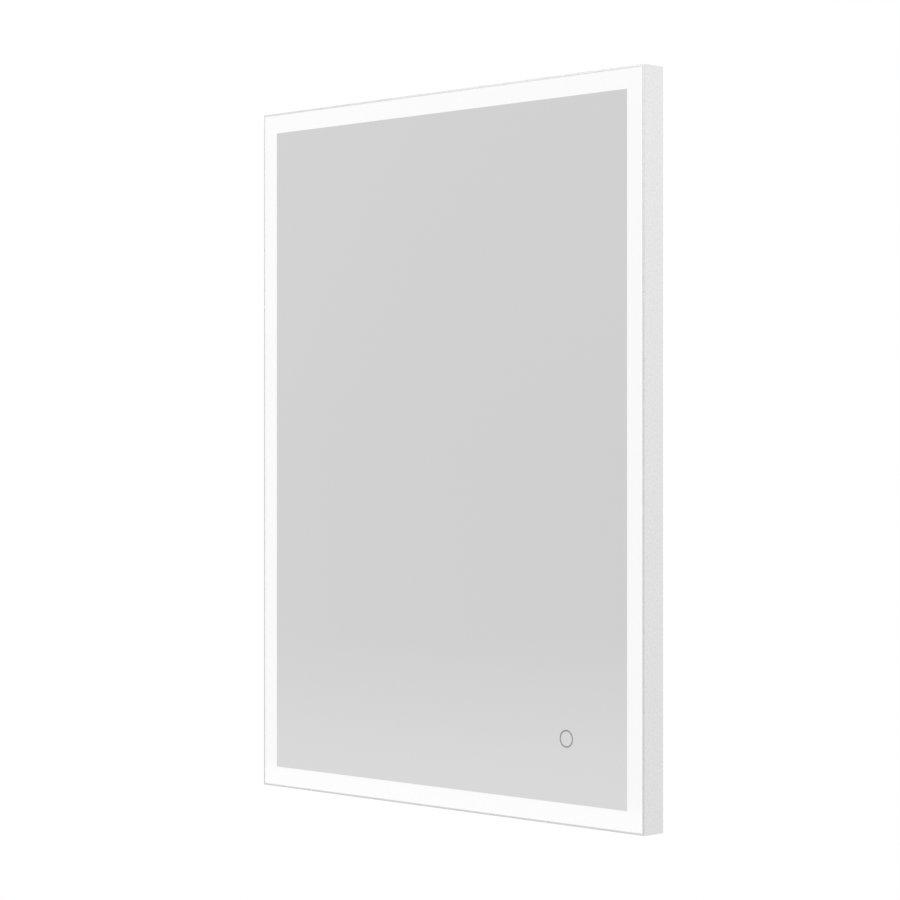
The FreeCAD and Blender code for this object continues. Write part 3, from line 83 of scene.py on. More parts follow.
def grid_faces(rows: int, columns: int, wrap_rows: bool, wrap_columns: bool) -> np.ndarray:
    """Quads that join the neighbouring points of a grid numbered row by row.

    Args:
        rows: number of rows of points.
        columns: number of points in each row.
        wrap_rows: whether the last row joins the first.
        wrap_columns: whether the last point of a row joins its first.

    Returns:
        An array of four point numbers for each face.
    """
    row = np.arange(rows if wrap_rows else rows - 1)[:, None]
    column = np.arange(columns if wrap_columns else columns - 1)[None, :]
    next_row = (row + 1) % rows
    next_column = (column + 1) % columns
    corners = (row * columns + column, next_row * columns + column,
               next_row * columns + next_column, row * columns + next_column)
    return np.stack([c.ravel() for c in np.broadcast_arrays(*corners)], axis=1)


def make_piece(name: str, points: np.ndarray, faces: np.ndarray,
               smooth: bool = False) -> bpy.types.Object:
    """A closed mesh object, merged where points meet and with its faces turned outwards.

    Args:
        name: the piece's name.
        points: an array of places in metres, of shape (count, 3).
        faces: an array of point numbers, one row for each face.
        smooth: whether the faces are shaded as one curved surface.

    Returns:
        The new object, at the origin, in the scene.
    """
    mesh = bpy.data.meshes.new(name)
    mesh.from_pydata(points.tolist(), [], faces.tolist())
    shell = bmesh.new()
    shell.from_mesh(mesh)
    bmesh.ops.remove_doubles(shell, verts=shell.verts, dist=MERGE_DISTANCE)
    bmesh.ops.dissolve_degenerate(shell, edges=shell.edges, dist=SLIVER)
    bmesh.ops.recalc_face_normals(shell, faces=shell.faces)
    shell.to_mesh(mesh)
    shell.free()
    mesh.polygons.foreach_set("use_smooth", np.full(len(mesh.polygons), smooth))
    mesh.update()
    piece = bpy.data.objects.new(name, mesh)
    bpy.context.collection.objects.link(piece)
    return piece


def frame_sweep(profile: np.ndarray, low: Vector, high: Vector) -> Shape:
    """A closed profile carried round a rectangle with mitred corners.

    A profile point (inset, depth) lands, at each corner of the rectangle, inset inwards from
    both of the sides that meet there, and depth in front of the wall.

    Args:
        profile: an array of (inset, depth) pairs in metres.
        low: the rectangle's lowest corner.
        high: the rectangle's highest corner.

    Returns:
        The points and the faces.
    """
    signs = np.array([(-1, -1), (1, -1), (1, 1), (-1, 1)], float)
    middle = np.array([(low.x + high.x) / 2, (low.z + high.z) / 2])
    half = np.array([(high.x - low.x) / 2, (high.z - low.z) / 2])
    across = middle + signs[:, None, :] * (half - profile[None, :, :1])
    depth = np.broadcast_to(-profile[None, :, 1:], across.shape[:2] + (1,))
    points = np.concatenate([across[..., :1], depth, across[..., 1:]], axis=2)
    return points.reshape(-1, 3), grid_faces(len(signs), len(profile), True, True)


def revolve(profile: np.ndarray, x: float, z: float, steps: int, closed: bool) -> Shape:
    """A profile turned about an axis square to the wall.

    At angle a, a profile point (radius, depth) lands at (x + radius cos a, -depth, z + radius sin a).

    Args:
        profile: an array of (radius, depth) pairs in metres.
        x: the axis's place across.
        z: the axis's place up.
        steps: how many angles go round.
        closed: whether the profile is itself a closed loop.

    Returns:
        The points and the faces.
    """
    angle = np.arange(steps)[:, None] * FULL_TURN / steps
    radius, depth = profile[None, :, 0], profile[None, :, 1]
    points = np.stack([x + radius * np.cos(angle), np.broadcast_to(-depth, (steps, len(profile))),
                       z + radius * np.sin(angle)], axis=2)
    return points.reshape(-1, 3), grid_faces(steps, len(profile), True, closed)


def repeat(points: np.ndarray, faces: np.ndarray, places: np.ndarray) -> Shape:
    """The same small shape set down at many places, as one mesh.

    Args:
        points: the shape's points.
        faces: the shape's faces.
        places: an array of offsets, one row for each copy.

    Returns:
        The points and the faces of all the copies.
    """
    moved = points[None] + places[:, None]
    numbers = faces[None] + (np.arange(len(places)) * len(points))[:, None, None]
    return moved.reshape(-1, 3), numbers.reshape(-1, faces.shape[1])


# ---------------------------------------------------------------- finishes

# The inputs of a Mix node by number, because their names repeat: the two numbers, and the two
# colours. A Math node's inputs all have one name, so they go by number too.
MIX_A, MIX_B = 2, 3
MIX_COLOUR_A, MIX_COLOUR_B = 6, 7
# Nearly all of a noise node's values lie between these.
NOISE_LIMITS = (0.3, 0.7)
# The heights of the grain that take the first and the second roughness.
GRAIN_LIMITS = (0.25, 0.75)
GRAIN_FALLOFF = 0.55
BUMP_STRENGTH = 0.6
# Streaks run up the piece, 25 times as long as they are wide.
STREAK_SQUEEZE = 0.04
# A Wave node repeats 20 times in a full turn's length at scale 1. At a sixth of the grain's scale
# the threads lie just under two grains apart, coarser than real cloth, so that they show.
THREAD_SPREAD = 6
WHITE = (1, 1, 1, 1)


def linear(colour: str) -> tuple[float, float, float, float]:
    """Turns an sRGB hex colour such as "#E0E1E1" to linear.

    Args:
        colour: the hex value.

    Returns:
        Red, green, blue and an alpha of 1.
    """
    parts = [int(colour[i:i + 2], 16) / 255 for i in (1, 3, 5)]
    return (*[p / 12.92 if p <= 0.04045 else ((p + 0.055) / 1.055) ** 2.4 for p in parts], 1.0)


def add_node(tree: bpy.types.NodeTree, kind: str, inputs: dict | None = None,
             **settings: object) -> bpy.types.Node:
    """Adds one shader node with its settings, values and links.

    Args:
        tree: the node tree.
        kind: the node's type name.
        inputs: a value, or an output socket to link from, for each input by name or number.
        settings: the node's own options.

    Returns:
        The new node.
    """
    node = tree.nodes.new(kind)
    for option, value in settings.items():
        setattr(node, option, value)
    for key, value in (inputs or {}).items():
        if isinstance(value, bpy.types.NodeSocket):
            tree.links.new(value, node.inputs[key])
        else:
            node.inputs[key].default_value = value
    return node


def new_tree(name: str) -> tuple[bpy.types.Material, bpy.types.NodeTree]:
    """Makes a material with an empty node tree.

    Args:
        name: the material's name.

    Returns:
        The material and its tree.
    """
    material = bpy.data.materials.new(name)
    material.use_nodes = True
    material.node_tree.nodes.clear()
    return material, material.node_tree


class Buildable(Protocol):
    """Any finish: it makes its own material."""

    def build(self) -> bpy.types.Material:
        """The material with its nodes."""


class Grain(Enum):
    """How a surface was made, which gives the fine relief that the eye sees."""

    BLASTED = "pits of bead blasting, the same in all directions"
    DRAWN = "streaks along the piece, from a die or a rolling mill"
    ORANGE_PEEL = "soft rounded dimples of a sprayed or fused paint"
    MOULDED = "the fine pebble of a spark-eroded mould"
    WOVEN = "threads of glass cloth that cross under the resist"
    CELLS = "cut cells of a foam"
    SMOOTH = "a smooth skin with faint flow marks"


@dataclass(frozen=True)
class Finish:
    """One real material and how its surface was made.

    The colour goes softly from one tone to the other over patches of mottle_mm and, by the
    share that speckle gives, with the grain, which also sets the relief and the spread of the
    roughness. grain_mm is the size at which the grain is drawn.
    """

    name: str
    colour: str
    second: str
    roughness: tuple[float, float]
    grain: Grain
    grain_mm: float
    relief_mm: float
    mottle_mm: float = 30.0
    speckle: float = 0.3
    metallic: float = 0.0
    ior: float = 1.5
    coat: float = 0.0
    glow: float = 0.0

    def grain_height(self, tree: bpy.types.NodeTree,
                     place: bpy.types.NodeSocket) -> bpy.types.NodeSocket:
        """The relief of the grain as a height from 0 to 1.

        Args:
            tree: the node tree.
            place: the object coordinates.

        Returns:
            The socket with the height.
        """
        scale = 1 / (self.grain_mm * MM)
        if self.grain is Grain.DRAWN:
            stretched = add_node(tree, "ShaderNodeMapping", {
                "Vector": place, "Scale": (1.0, 1.0, STREAK_SQUEEZE)})
            return add_node(tree, "ShaderNodeTexNoise", {
                "Vector": stretched.outputs[0], "Scale": scale, "Detail": 3.0}).outputs[0]
        if self.grain in (Grain.CELLS, Grain.MOULDED):
            return add_node(tree, "ShaderNodeTexVoronoi", {"Vector": place, "Scale": scale},
                            feature="SMOOTH_F1").outputs[0]
        if self.grain is Grain.WOVEN:
            warp, weft = [add_node(tree, "ShaderNodeTexWave", {
                "Vector": place, "Scale": scale / THREAD_SPREAD}, bands_direction=axis).outputs[1]
                for axis in ("X", "Z")]
            return add_node(tree, "ShaderNodeMath", {0: warp, 1: weft}, operation="MAXIMUM").outputs[0]
        detail = {Grain.BLASTED: 4.0, Grain.ORANGE_PEEL: 0.5, Grain.SMOOTH: 1.0}[self.grain]
        return add_node(tree, "ShaderNodeTexNoise", {
            "Vector": place, "Scale": scale, "Detail": detail,
            "Roughness": GRAIN_FALLOFF}).outputs[0]

    def tone(self, tree: bpy.types.NodeTree, place: bpy.types.NodeSocket,
             grain: bpy.types.NodeSocket) -> bpy.types.NodeSocket:
        """The colour: the two tones over soft patches, mixed with the grain's heights and hollows.

        Args:
            tree: the node tree.
            place: the object coordinates.
            grain: the grain's height.

        Returns:
            The socket with the colour.
        """
        patches = add_node(tree, "ShaderNodeTexNoise", {
            "Vector": place, "Scale": 1 / (self.mottle_mm * MM), "Detail": 2.0})
        both = add_node(tree, "ShaderNodeMix", {
            "Factor": self.speckle, MIX_A: patches.outputs[0], MIX_B: grain})
        share = add_node(tree, "ShaderNodeMapRange", {
            "Value": both.outputs[0], "From Min": NOISE_LIMITS[0], "From Max": NOISE_LIMITS[1]})
        mix = add_node(tree, "ShaderNodeMix", {
            "Factor": share.outputs[0], MIX_COLOUR_A: linear(self.second),
            MIX_COLOUR_B: linear(self.colour)}, data_type="RGBA")
        return mix.outputs[2]

    def build(self) -> bpy.types.Material:
        """Makes the material.

        Returns:
            The material with its nodes.
        """
        material, tree = new_tree(self.name)
        place = add_node(tree, "ShaderNodeTexCoord").outputs["Object"]
        grain = self.grain_height(tree, place)
        colour = self.tone(tree, place, grain)
        rough = add_node(tree, "ShaderNodeMapRange", {
            "Value": grain, "From Min": GRAIN_LIMITS[0], "From Max": GRAIN_LIMITS[1],
            "To Min": self.roughness[0], "To Max": self.roughness[1]})
        bump = add_node(tree, "ShaderNodeBump", {
            "Strength": BUMP_STRENGTH, "Distance": self.relief_mm * MM, "Height": grain})
        shader = add_node(tree, "ShaderNodeBsdfPrincipled", {
            "Base Color": colour, "Roughness": rough.outputs[0], "Metallic": self.metallic,
            "IOR": self.ior, "Coat Weight": self.coat, "Normal": bump.outputs[0],
            "Emission Color": linear(self.colour), "Emission Strength": self.glow})
        add_node(tree, "ShaderNodeOutputMaterial", {"Surface": shader.outputs[0]})
        return material


# Plating streaks, a tool's lines and a hammered skin are 0.1 to 0.2 mm across in life, and are
# drawn about five times coarser so that they show.
METALS = {
    # Extruded, glass-bead blasted, etched and anodised clear: an even satin with no streaks. The
    # beads' pits are about 0.2 mm, so the speckle is drawn some ten times coarser.
    "anodised_aluminium": Finish(
        "anodised_aluminium_bead_blasted", "#E9E9E9", "#DBDBDB", (0.40, 0.50), Grain.BLASTED,
        2.4, 0.03, 220.0, speckle=0.95, metallic=1.0),
    # Pressed from sheet, zinc plated and passivated: a cool grey with a faint cloud.
    "zinc_plated_steel": Finish(
        "zinc_plated_steel_passivated", "#CDD0D3", "#B5B9BE", (0.26, 0.42), Grain.DRAWN,
        0.9, 0.01, 9.0, metallic=1.0),
    # Soft aluminium headed cold against its plate: bright, a little dimpled by the tool.
    "rivet_aluminium": Finish(
        "aluminium_cold_headed", "#D5D6D6", "#C4C6C8", (0.28, 0.40), Grain.BLASTED,
        0.8, 0.01, 4.0, metallic=1.0),
    # Turned from bar: warm yellow with fine lines from the tool.
    "brass": Finish(
        "brass_turned", "#C9A55E", "#B08C48", (0.22, 0.36), Grain.DRAWN, 0.5, 0.01, 3.0,
        metallic=1.0),
    # Stamped from strip and dipped in tin: a soft grey with streaks where the tin ran.
    "tinned_copper": Finish(
        "copper_stamped_and_tinned", "#CFCFCA", "#B9BAB6", (0.24, 0.38), Grain.DRAWN, 0.6, 0.01,
        4.0, metallic=1.0),
}

# A mould's pebble, a foam's cells and a cloth's threads are 0.2 to 0.5 mm across in life, and are
# drawn two to five times coarser so that they show.
PAINTS_AND_PLASTICS = {
    # Powder paint fused on steel: a soft orange peel with a low gloss.
    "white_paint": Finish(
        "polyester_powder_coat_on_steel", "#E6E6E4", "#DFDFDD", (0.34, 0.46), Grain.ORANGE_PEEL,
        2.2, 0.06, 90.0, ior=1.5, coat=0.08),
    # Injection moulded: a fine even pebble that takes the gloss off.
    "white_moulding": Finish(
        "polycarbonate_moulded_white", "#E4E4DF", "#DADAD5", (0.36, 0.52), Grain.MOULDED,
        1.1, 0.03, 40.0, ior=1.58),
    # Moulded in a spark-eroded tool: a fine pebble, half matt.
    "grey_moulding": Finish(
        "abs_moulded_grey", "#B7BABC", "#A9ACAF", (0.38, 0.54), Grain.MOULDED, 1.1, 0.03, 35.0,
        ior=1.53),
    # The same, in black: the pebble shows as a grey sheen at a low angle.
    "black_moulding": Finish(
        "abs_moulded_black", "#26272A", "#1B1C1E", (0.36, 0.50), Grain.MOULDED, 1.0, 0.03, 25.0,
        ior=1.53),
    # Undyed nylon for terminals: creamy and waxy, with faint flow marks.
    "terminal_moulding": Finish(
        "polyamide_moulded_natural", "#DEDACB", "#D0CCBB", (0.34, 0.46), Grain.SMOOTH, 1.5, 0.02,
        12.0, ior=1.53),
    # Undyed nylon in thin clips: waxy and a shade lighter.
    "white_nylon": Finish(
        "nylon_moulded_natural", "#E6E3D8", "#DAD6C9", (0.32, 0.44), Grain.SMOOTH, 1.4, 0.02, 8.0,
        ior=1.53),
    # Pressed in a blasted mould and dusted: a dry dark grey with no highlight.
    "black_rubber": Finish(
        "epdm_rubber_moulded", "#242526", "#34363A", (0.62, 0.80), Grain.BLASTED, 0.9, 0.03, 6.0,
        ior=1.52),
    # Clear silicone against the lit edge of the glass, which shines through it: that light is painted
    # on the silicone as a glow.
    "clear_silicone": Finish(
        "silicone_sealant_tooled_painted_glow", "#D6D7D7", "#CDCECE", (0.26, 0.38), Grain.SMOOTH, 3.0, 0.02,
        25.0, ior=1.41, glow=0.40),
    # Extruded with a white filler: smooth and glossy, and lit through from behind.
    "opal_acrylic": Finish(
        "acrylic_extruded_opal", "#F0F1EE", "#E9EAE7", (0.22, 0.34), Grain.SMOOTH, 6.0, 0.01,
        60.0, ior=1.49, glow=0.35),
    # Slit foam: cut cells that hold shade, so it is matt all over.
    "foam_tape": Finish(
        "polyethylene_foam_slit", "#D9D7D0", "#C8C5BD", (0.70, 0.88), Grain.CELLS, 0.8, 0.15, 12.0,
        ior=1.5),
    # The mirror's back: silver and copper under a curtain-coated paint, a soft even grey.
    "silver_coat": Finish(
        "silvering_with_grey_backing_paint", "#8E9194", "#83868A", (0.42, 0.58),
        Grain.ORANGE_PEEL, 2.5, 0.02, 70.0, ior=1.5),
    # Amber film pressed flat over the heating track: a smooth sharp gloss.
    "heating_film": Finish(
        "polyester_film_laminated", "#C99C4E", "#BD8F43", (0.18, 0.30), Grain.SMOOTH, 4.0, 0.02,
        30.0, ior=1.57, coat=0.2),
    # Glass cloth and epoxy under green lacquer: the threads show as a faint grid.
    "circuit_board": Finish(
        "glass_epoxy_green_resist", "#2C6A47", "#225839", (0.26, 0.40), Grain.WOVEN, 0.9, 0.02,
        10.0, ior=1.55, coat=0.3),
    # The same board under white lacquer, which throws the light back out.
    "led_board": Finish(
        "glass_epoxy_white_resist", "#ECECE4", "#E0E0D8", (0.30, 0.42), Grain.WOVEN, 0.9, 0.02,
        10.0, ior=1.55, coat=0.2),
    # Extruded over the cores: half matt, with faint waves from the die.
    "grey_sheath": Finish(
        "pvc_sheath_extruded_grey", "#A3A6A9", "#95989B", (0.36, 0.50), Grain.SMOOTH, 2.0, 0.04,
        14.0, ior=1.53),
}


@dataclass(frozen=True)
class Insulation(ABC):
    """Extruded PVC round a single core: two colours under a smooth half matt skin.

    A subclass says where the second colour shows.
    """

    name: str
    first: str
    second: str
    # The flow marks of the extruder, about 1.1 mm apart.
    flow_per_metre: float = 900.0
    roughness: tuple[float, float] = (0.32, 0.46)
    ior: float = 1.53

    @abstractmethod
    def share(self, tree: bpy.types.NodeTree, place: bpy.types.NodeSocket) -> bpy.types.NodeSocket:
        """How much of the second colour shows, from 0 to 1.

        Args:
            tree: the node tree.
            place: the object coordinates.

        Returns:
            The socket with the share.
        """

    def build(self) -> bpy.types.Material:
        """Makes the material.

        Returns:
            The material with its nodes.
        """
        material, tree = new_tree(self.name)
        place = add_node(tree, "ShaderNodeTexCoord").outputs["Object"]
        mix = add_node(tree, "ShaderNodeMix", {
            "Factor": self.share(tree, place), MIX_COLOUR_A: linear(self.first),
            MIX_COLOUR_B: linear(self.second)}, data_type="RGBA")
        flow = add_node(tree, "ShaderNodeTexNoise", {"Vector": place, "Scale": self.flow_per_metre})
        rough = add_node(tree, "ShaderNodeMapRange", {
            "Value": flow.outputs[0], "To Min": self.roughness[0], "To Max": self.roughness[1]})
        shader = add_node(tree, "ShaderNodeBsdfPrincipled", {
            "Base Color": mix.outputs[2], "Roughness": rough.outputs[0], "IOR": self.ior})
        add_node(tree, "ShaderNodeOutputMaterial", {"Surface": shader.outputs[0]})
        return material


@dataclass(frozen=True)
class CoreInsulation(Insulation):
    """PVC on the mains cores: blue for neutral and brown for live, told apart by height."""

    name: str = "pvc_insulation_brown_and_blue"
    first: str = "#2F6FB0"
    second: str = "#6E4326"
    parting_z: float = -0.249

    def share(self, tree: bpy.types.NodeTree, place: bpy.types.NodeSocket) -> bpy.types.NodeSocket:
        """Brown above the parting height.

        Args:
            tree: the node tree.
            place: the object coordinates.

        Returns:
            The socket with the share.
        """
        up = add_node(tree, "ShaderNodeSeparateXYZ", {0: place}).outputs[2]
        return add_node(tree, "ShaderNodeMath", {0: up, 1: self.parting_z},
                        operation="GREATER_THAN").outputs[0]


@dataclass(frozen=True)
class EarthInsulation(Insulation):
    """PVC on the earth wire: green, with a yellow stripe that winds slowly round it.

    The stripe shows where the sine of depth / stripe_pitch + (across + up) / twist, in turns,
    is above a small value.
    """

    name: str = "pvc_insulation_green_and_yellow"
    first: str = "#2E8B46"
    second: str = "#E3CF3A"
    stripe_pitch: float = 3.2 * MM
    twist: float = 14.0 * MM
    stripe_edge: tuple[float, float] = (0.1, 0.3)

    def share(self, tree: bpy.types.NodeTree, place: bpy.types.NodeSocket) -> bpy.types.NodeSocket:
        """Yellow along the stripe, with a soft edge.

        Args:
            tree: the node tree.
            place: the object coordinates.

        Returns:
            The socket with the share.
        """
        turns = [FULL_TURN / length for length in (self.twist, self.stripe_pitch, self.twist)]
        angle = add_node(tree, "ShaderNodeVectorMath", {0: place, 1: turns}, operation="DOT_PRODUCT")
        wave = add_node(tree, "ShaderNodeMath", {0: angle.outputs["Value"]}, operation="SINE")
        return add_node(tree, "ShaderNodeMapRange", {
            "Value": wave.outputs[0], "From Min": self.stripe_edge[0],
            "From Max": self.stripe_edge[1]}).outputs[0]


@dataclass(frozen=True)
class SilveredGlass:
    """Low-iron float glass silvered on its back: a clear and neutral mirror.

    The front is as flat as float glass is. Cleaning leaves a haze that is too faint to see
    as marks, and only keeps the reflection from looking computed.
    """

    name: str = "float_glass_silvered"
    colour: str = "#F1F1F1"
    haze: tuple[float, float] = (0.004, 0.02)
    haze_mm: float = 140.0

    def build(self) -> bpy.types.Material:
        """Makes the material.

        Returns:
            The material with its nodes.
        """
        material, tree = new_tree(self.name)
        place = add_node(tree, "ShaderNodeTexCoord").outputs["Object"]
        wiped = add_node(tree, "ShaderNodeTexNoise", {
            "Vector": place, "Scale": 1 / (self.haze_mm * MM), "Detail": 3.0})
        rough = add_node(tree, "ShaderNodeMapRange", {
            "Value": wiped.outputs[0], "From Min": NOISE_LIMITS[0], "From Max": NOISE_LIMITS[1],
            "To Min": self.haze[0], "To Max": self.haze[1]})
        shader = add_node(tree, "ShaderNodeBsdfPrincipled", {
            "Base Color": linear(self.colour), "Metallic": 1.0, "Roughness": rough.outputs[0]})
        add_node(tree, "ShaderNodeOutputMaterial", {"Surface": shader.outputs[0]})
        return material


@dataclass(frozen=True)
class LitEtchedGlass:
    """Glass etched on its back over lit opal acrylic: an even white glow under a smooth front.

    The glow ripples a little at the pitch of the LEDs. The sides, the top and the bottom glow at
    strengths that differ by a trace, the bottom's the strongest.
    """

    name: str = "float_glass_acid_etched_backlit"
    colour: str = "#B2B2B2"
    light: str = "#FFFFFF"
    side_strength: float = 0.547
    top_strength: float = 0.550
    bottom_strength: float = 0.581
    led_pitch: float = 50.0 / 3 * MM
    ripple: float = 0.002
    # The heights between which the sides' strength goes over to the top's and the bottom's.
    top_reach: tuple[float, float] = (0.065, 0.085)
    bottom_reach: tuple[float, float] = (-0.665, -0.685)
    # The etch is a frost of about 0.1 mm, drawn coarser so that it shows.
    frost_mm: float = 1.5
    frost_roughness: tuple[float, float] = (0.50, 0.64)
    ior: float = 1.52
    # The smooth front of the glass over the frost.
    polish: float = 0.5
    polish_roughness: float = 0.02

    def strength_at_height(self, tree: bpy.types.NodeTree,
                       height: bpy.types.NodeSocket) -> bpy.types.NodeSocket:
        """The glow's strength at a point's height: the sides', going over to the top's and the bottom's
        near them.

        Args:
            tree: the node tree.
            height: the point's height in metres.

        Returns:
            The socket with the strength.
        """
        strength = self.side_strength
        ends = ((self.top_reach, self.top_strength), (self.bottom_reach, self.bottom_strength))
        for reach, end_strength in ends:
            share = add_node(tree, "ShaderNodeMapRange", {
                "Value": height, "From Min": reach[0], "From Max": reach[1]},
                interpolation_type="SMOOTHSTEP")
            mix = add_node(tree, "ShaderNodeMix", {
                "Factor": share.outputs[0], MIX_A: strength, MIX_B: end_strength})
            strength = mix.outputs[0]
        return strength

    def build(self) -> bpy.types.Material:
        """Makes the material.

        Returns:
            The material with its nodes.
        """
        material, tree = new_tree(self.name)
        place = add_node(tree, "ShaderNodeTexCoord").outputs["Object"]
        parts = add_node(tree, "ShaderNodeSeparateXYZ", {0: place})
        ends = self.strength_at_height(tree, parts.outputs[2])
        along = add_node(tree, "ShaderNodeMath", {0: parts.outputs[0], 1: parts.outputs[2]},
                         operation="ADD")
        turn = add_node(tree, "ShaderNodeMath", {0: along.outputs[0], 1: FULL_TURN / self.led_pitch},
                        operation="MULTIPLY")
        wave = add_node(tree, "ShaderNodeMath", {0: turn.outputs[0]}, operation="SINE")
        strength = add_node(tree, "ShaderNodeMath", {0: wave.outputs[0], 1: self.ripple, 2: ends},
                            operation="MULTIPLY_ADD")
        etch = add_node(tree, "ShaderNodeTexNoise", {
            "Vector": place, "Scale": 1 / (self.frost_mm * MM), "Detail": 3.0})
        rough = add_node(tree, "ShaderNodeMapRange", {
            "Value": etch.outputs[0], "To Min": self.frost_roughness[0],
            "To Max": self.frost_roughness[1]})
        shader = add_node(tree, "ShaderNodeBsdfPrincipled", {
            "Base Color": linear(self.colour), "Roughness": rough.outputs[0], "IOR": self.ior,
            "Coat Weight": self.polish, "Coat Roughness": self.polish_roughness,
            "Emission Color": linear(self.light), "Emission Strength": strength.outputs[0]})
        add_node(tree, "ShaderNodeOutputMaterial", {"Surface": shader.outputs[0]})
        return material


# ---------------------------------------------------------------- sub-assemblies


def dress(piece: bpy.types.Object, finish: Buildable) -> bpy.types.Object:
    """Gives a new piece its finish and the body that it rides on.

    Args:
        piece: the new object.
        finish: the finish to make for it.

    Returns:
        The same object.
    """
    piece.data.materials.append(finish.build())
    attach(piece, MIRROR_BODY)
    log.info("%s: %d faces on %s", piece.name, len(piece.data.polygons), MIRROR_BODY)
    return piece


@dataclass
class Pane:
    """The mirror glass: a silvered field, the lit band round it and the touch ring.

    The surfaces of the one sheet are pieces of their own, each with its own finish, and all of
    them stand for the CAD's mirror_glass.
    """

    low: Vector
    high: Vector
    band_width: float = 21.5 * MM
    arris: float = 0.2 * MM
    ring_from_right: float = 107.4 * MM
    ring_from_bottom: float = 90.4 * MM
    ring_diameter: float = 17.5 * MM
    ring_line: float = 1.8 * MM
    ring_sink: float = 0.03 * MM
    ring_steps: int = 96
    seal_gap: float = 0.5 * MM
    # How far the bead's face lies behind the front of the glass, from the rim to the glass.
    seal_sag_mm: tuple[float, ...] = (0.28, 0.40, 0.44, 0.40, 0.33)

    @property
    def ring_centre(self) -> tuple[float, float]:
        """The ring's place across and up."""
        return self.high.x - self.ring_from_right, self.low.z + self.ring_from_bottom

    @property
    def front(self) -> float:
        """The depth of the front of the glass."""
        return -self.low.y

    @property
    def back(self) -> float:
        """The depth of the back of the glass."""
        return -self.high.y

    def surface(self, name: str, shape: Shape, finish: Buildable) -> bpy.types.Object:
        """Makes one surface of the sheet of glass.

        Args:
            name: the piece's name.
            shape: its points and faces.
            finish: its finish.

        Returns:
            The new piece.
        """
        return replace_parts(dress(make_piece(name, *shape), finish), "mirror_glass")

    def field_outline(self) -> tuple[np.ndarray, np.ndarray]:
        """The field's outer edge as seen from the ring's centre.

        The ray at angle a meets the rectangle at the nearest of its four sides: the distance
        is the least of side distance / cosine of the angle between the ray and that side.

        Returns:
            The angles, with the four corners' own angles among them, and the distances.
        """
        x, z = self.ring_centre
        left, right = self.low.x + self.band_width - x, self.high.x - self.band_width - x
        bottom, top = self.low.z + self.band_width - z, self.high.z - self.band_width - z
        corners = [math.atan2(up, across) for across in (left, right) for up in (bottom, top)]
        even = np.arange(self.ring_steps) * FULL_TURN / self.ring_steps - math.pi
        angle = np.unique(np.concatenate([even, corners]))
        cosine, sine = np.cos(angle), np.sin(angle)
        reach_x = np.where(cosine > 0, right, -left) / np.maximum(np.abs(cosine), TINY)
        reach_z = np.where(sine > 0, top, -bottom) / np.maximum(np.abs(sine), TINY)
        return angle, np.minimum(reach_x, reach_z)

    def field(self) -> bpy.types.Object:
        """Makes the silvered field: a plate between the ring's outer edge and the band.

        A point at angle a and distance r from the ring's centre (x, z) lands at
        (x + r cos a, z + r sin a).

        Returns:
            The new piece.
        """
        x, z = self.ring_centre
        angle, reach = self.field_outline()
        inner = np.full_like(reach, (self.ring_diameter + self.ring_line) / 2)
        radius = np.stack([inner, reach, reach, inner], axis=1)
        depth = np.broadcast_to([self.front, self.front, self.back, self.back], radius.shape)
        points = np.stack([x + radius * np.cos(angle)[:, None], -depth,
                           z + radius * np.sin(angle)[:, None]], axis=2).reshape(-1, 3)
        shape = points, grid_faces(len(angle), radius.shape[1], True, True)
        return self.surface("pane_silvered_field", shape, SilveredGlass())

    def touch_disc(self) -> bpy.types.Object:
        """Makes the silvered disc inside the touch ring, a flat cylinder about the ring's axis.

        Returns:
            The new piece.
        """
        radius = (self.ring_diameter - self.ring_line) / 2
        profile = np.array([(0, self.front), (radius, self.front), (radius, self.back), (0, self.back)])
        shape = revolve(profile, *self.ring_centre, self.ring_steps, False)
        return self.surface("pane_touch_disc", shape, SilveredGlass("float_glass_silvered_over_sensor"))

    def touch_ring(self) -> bpy.types.Object:
        """Makes the etched ring: a flat annulus, its face a hair behind the front of the glass.

        Returns:
            The new piece.
        """
        inner = (self.ring_diameter - self.ring_line) / 2
        outer = (self.ring_diameter + self.ring_line) / 2
        face = self.front - self.ring_sink
        profile = np.array([(inner, face), (outer, face), (outer, self.back), (inner, self.back)])
        shape = revolve(profile, *self.ring_centre, self.ring_steps, True)
        # Sandblasted glass with no light behind it: a matt grey line on the clear mirror.
        finish = Finish("float_glass_sandblasted_mark", "#A0A4A1", "#979B98", (0.50, 0.62),
                        Grain.BLASTED, 0.6, 0.01, 5.0, ior=1.52)
        return self.surface("pane_touch_ring", shape, finish)

    def band(self) -> bpy.types.Object:
        """Makes the etched band: a flat rectangular ring of glass that stops at the edge's arris.

        Returns:
            The new piece.
        """
        profile = np.array([(self.band_width, self.front), (self.arris, self.front),
                            (self.arris, self.back), (self.band_width, self.back)])
        shape = frame_sweep(profile, self.low, self.high)
        return self.surface("pane_lit_band", shape, LitEtchedGlass())

    def ground_edge(self) -> bpy.types.Object:
        """Makes the edge of the sheet: ground flat, with a 45 degree arris at the front and the back.

        Returns:
            The new piece.
        """
        profile = np.array([(self.arris, self.front), (0, self.front - self.arris),
                            (0, self.back + self.arris), (self.arris, self.back)])
        # Glass ground with a diamond wheel: matt, so it stays darker than the etched face that the
        # light leaves by. The wheel's marks are drawn coarser so that they show.
        finish = Finish("float_glass_ground_edge", "#C8CCCA", "#B4BAB7", (0.48, 0.60),
                        Grain.BLASTED, 1.6, 0.02, 12.0, speckle=0.8, ior=1.52)
        return self.surface("pane_ground_edge", frame_sweep(profile, self.low, self.high), finish)

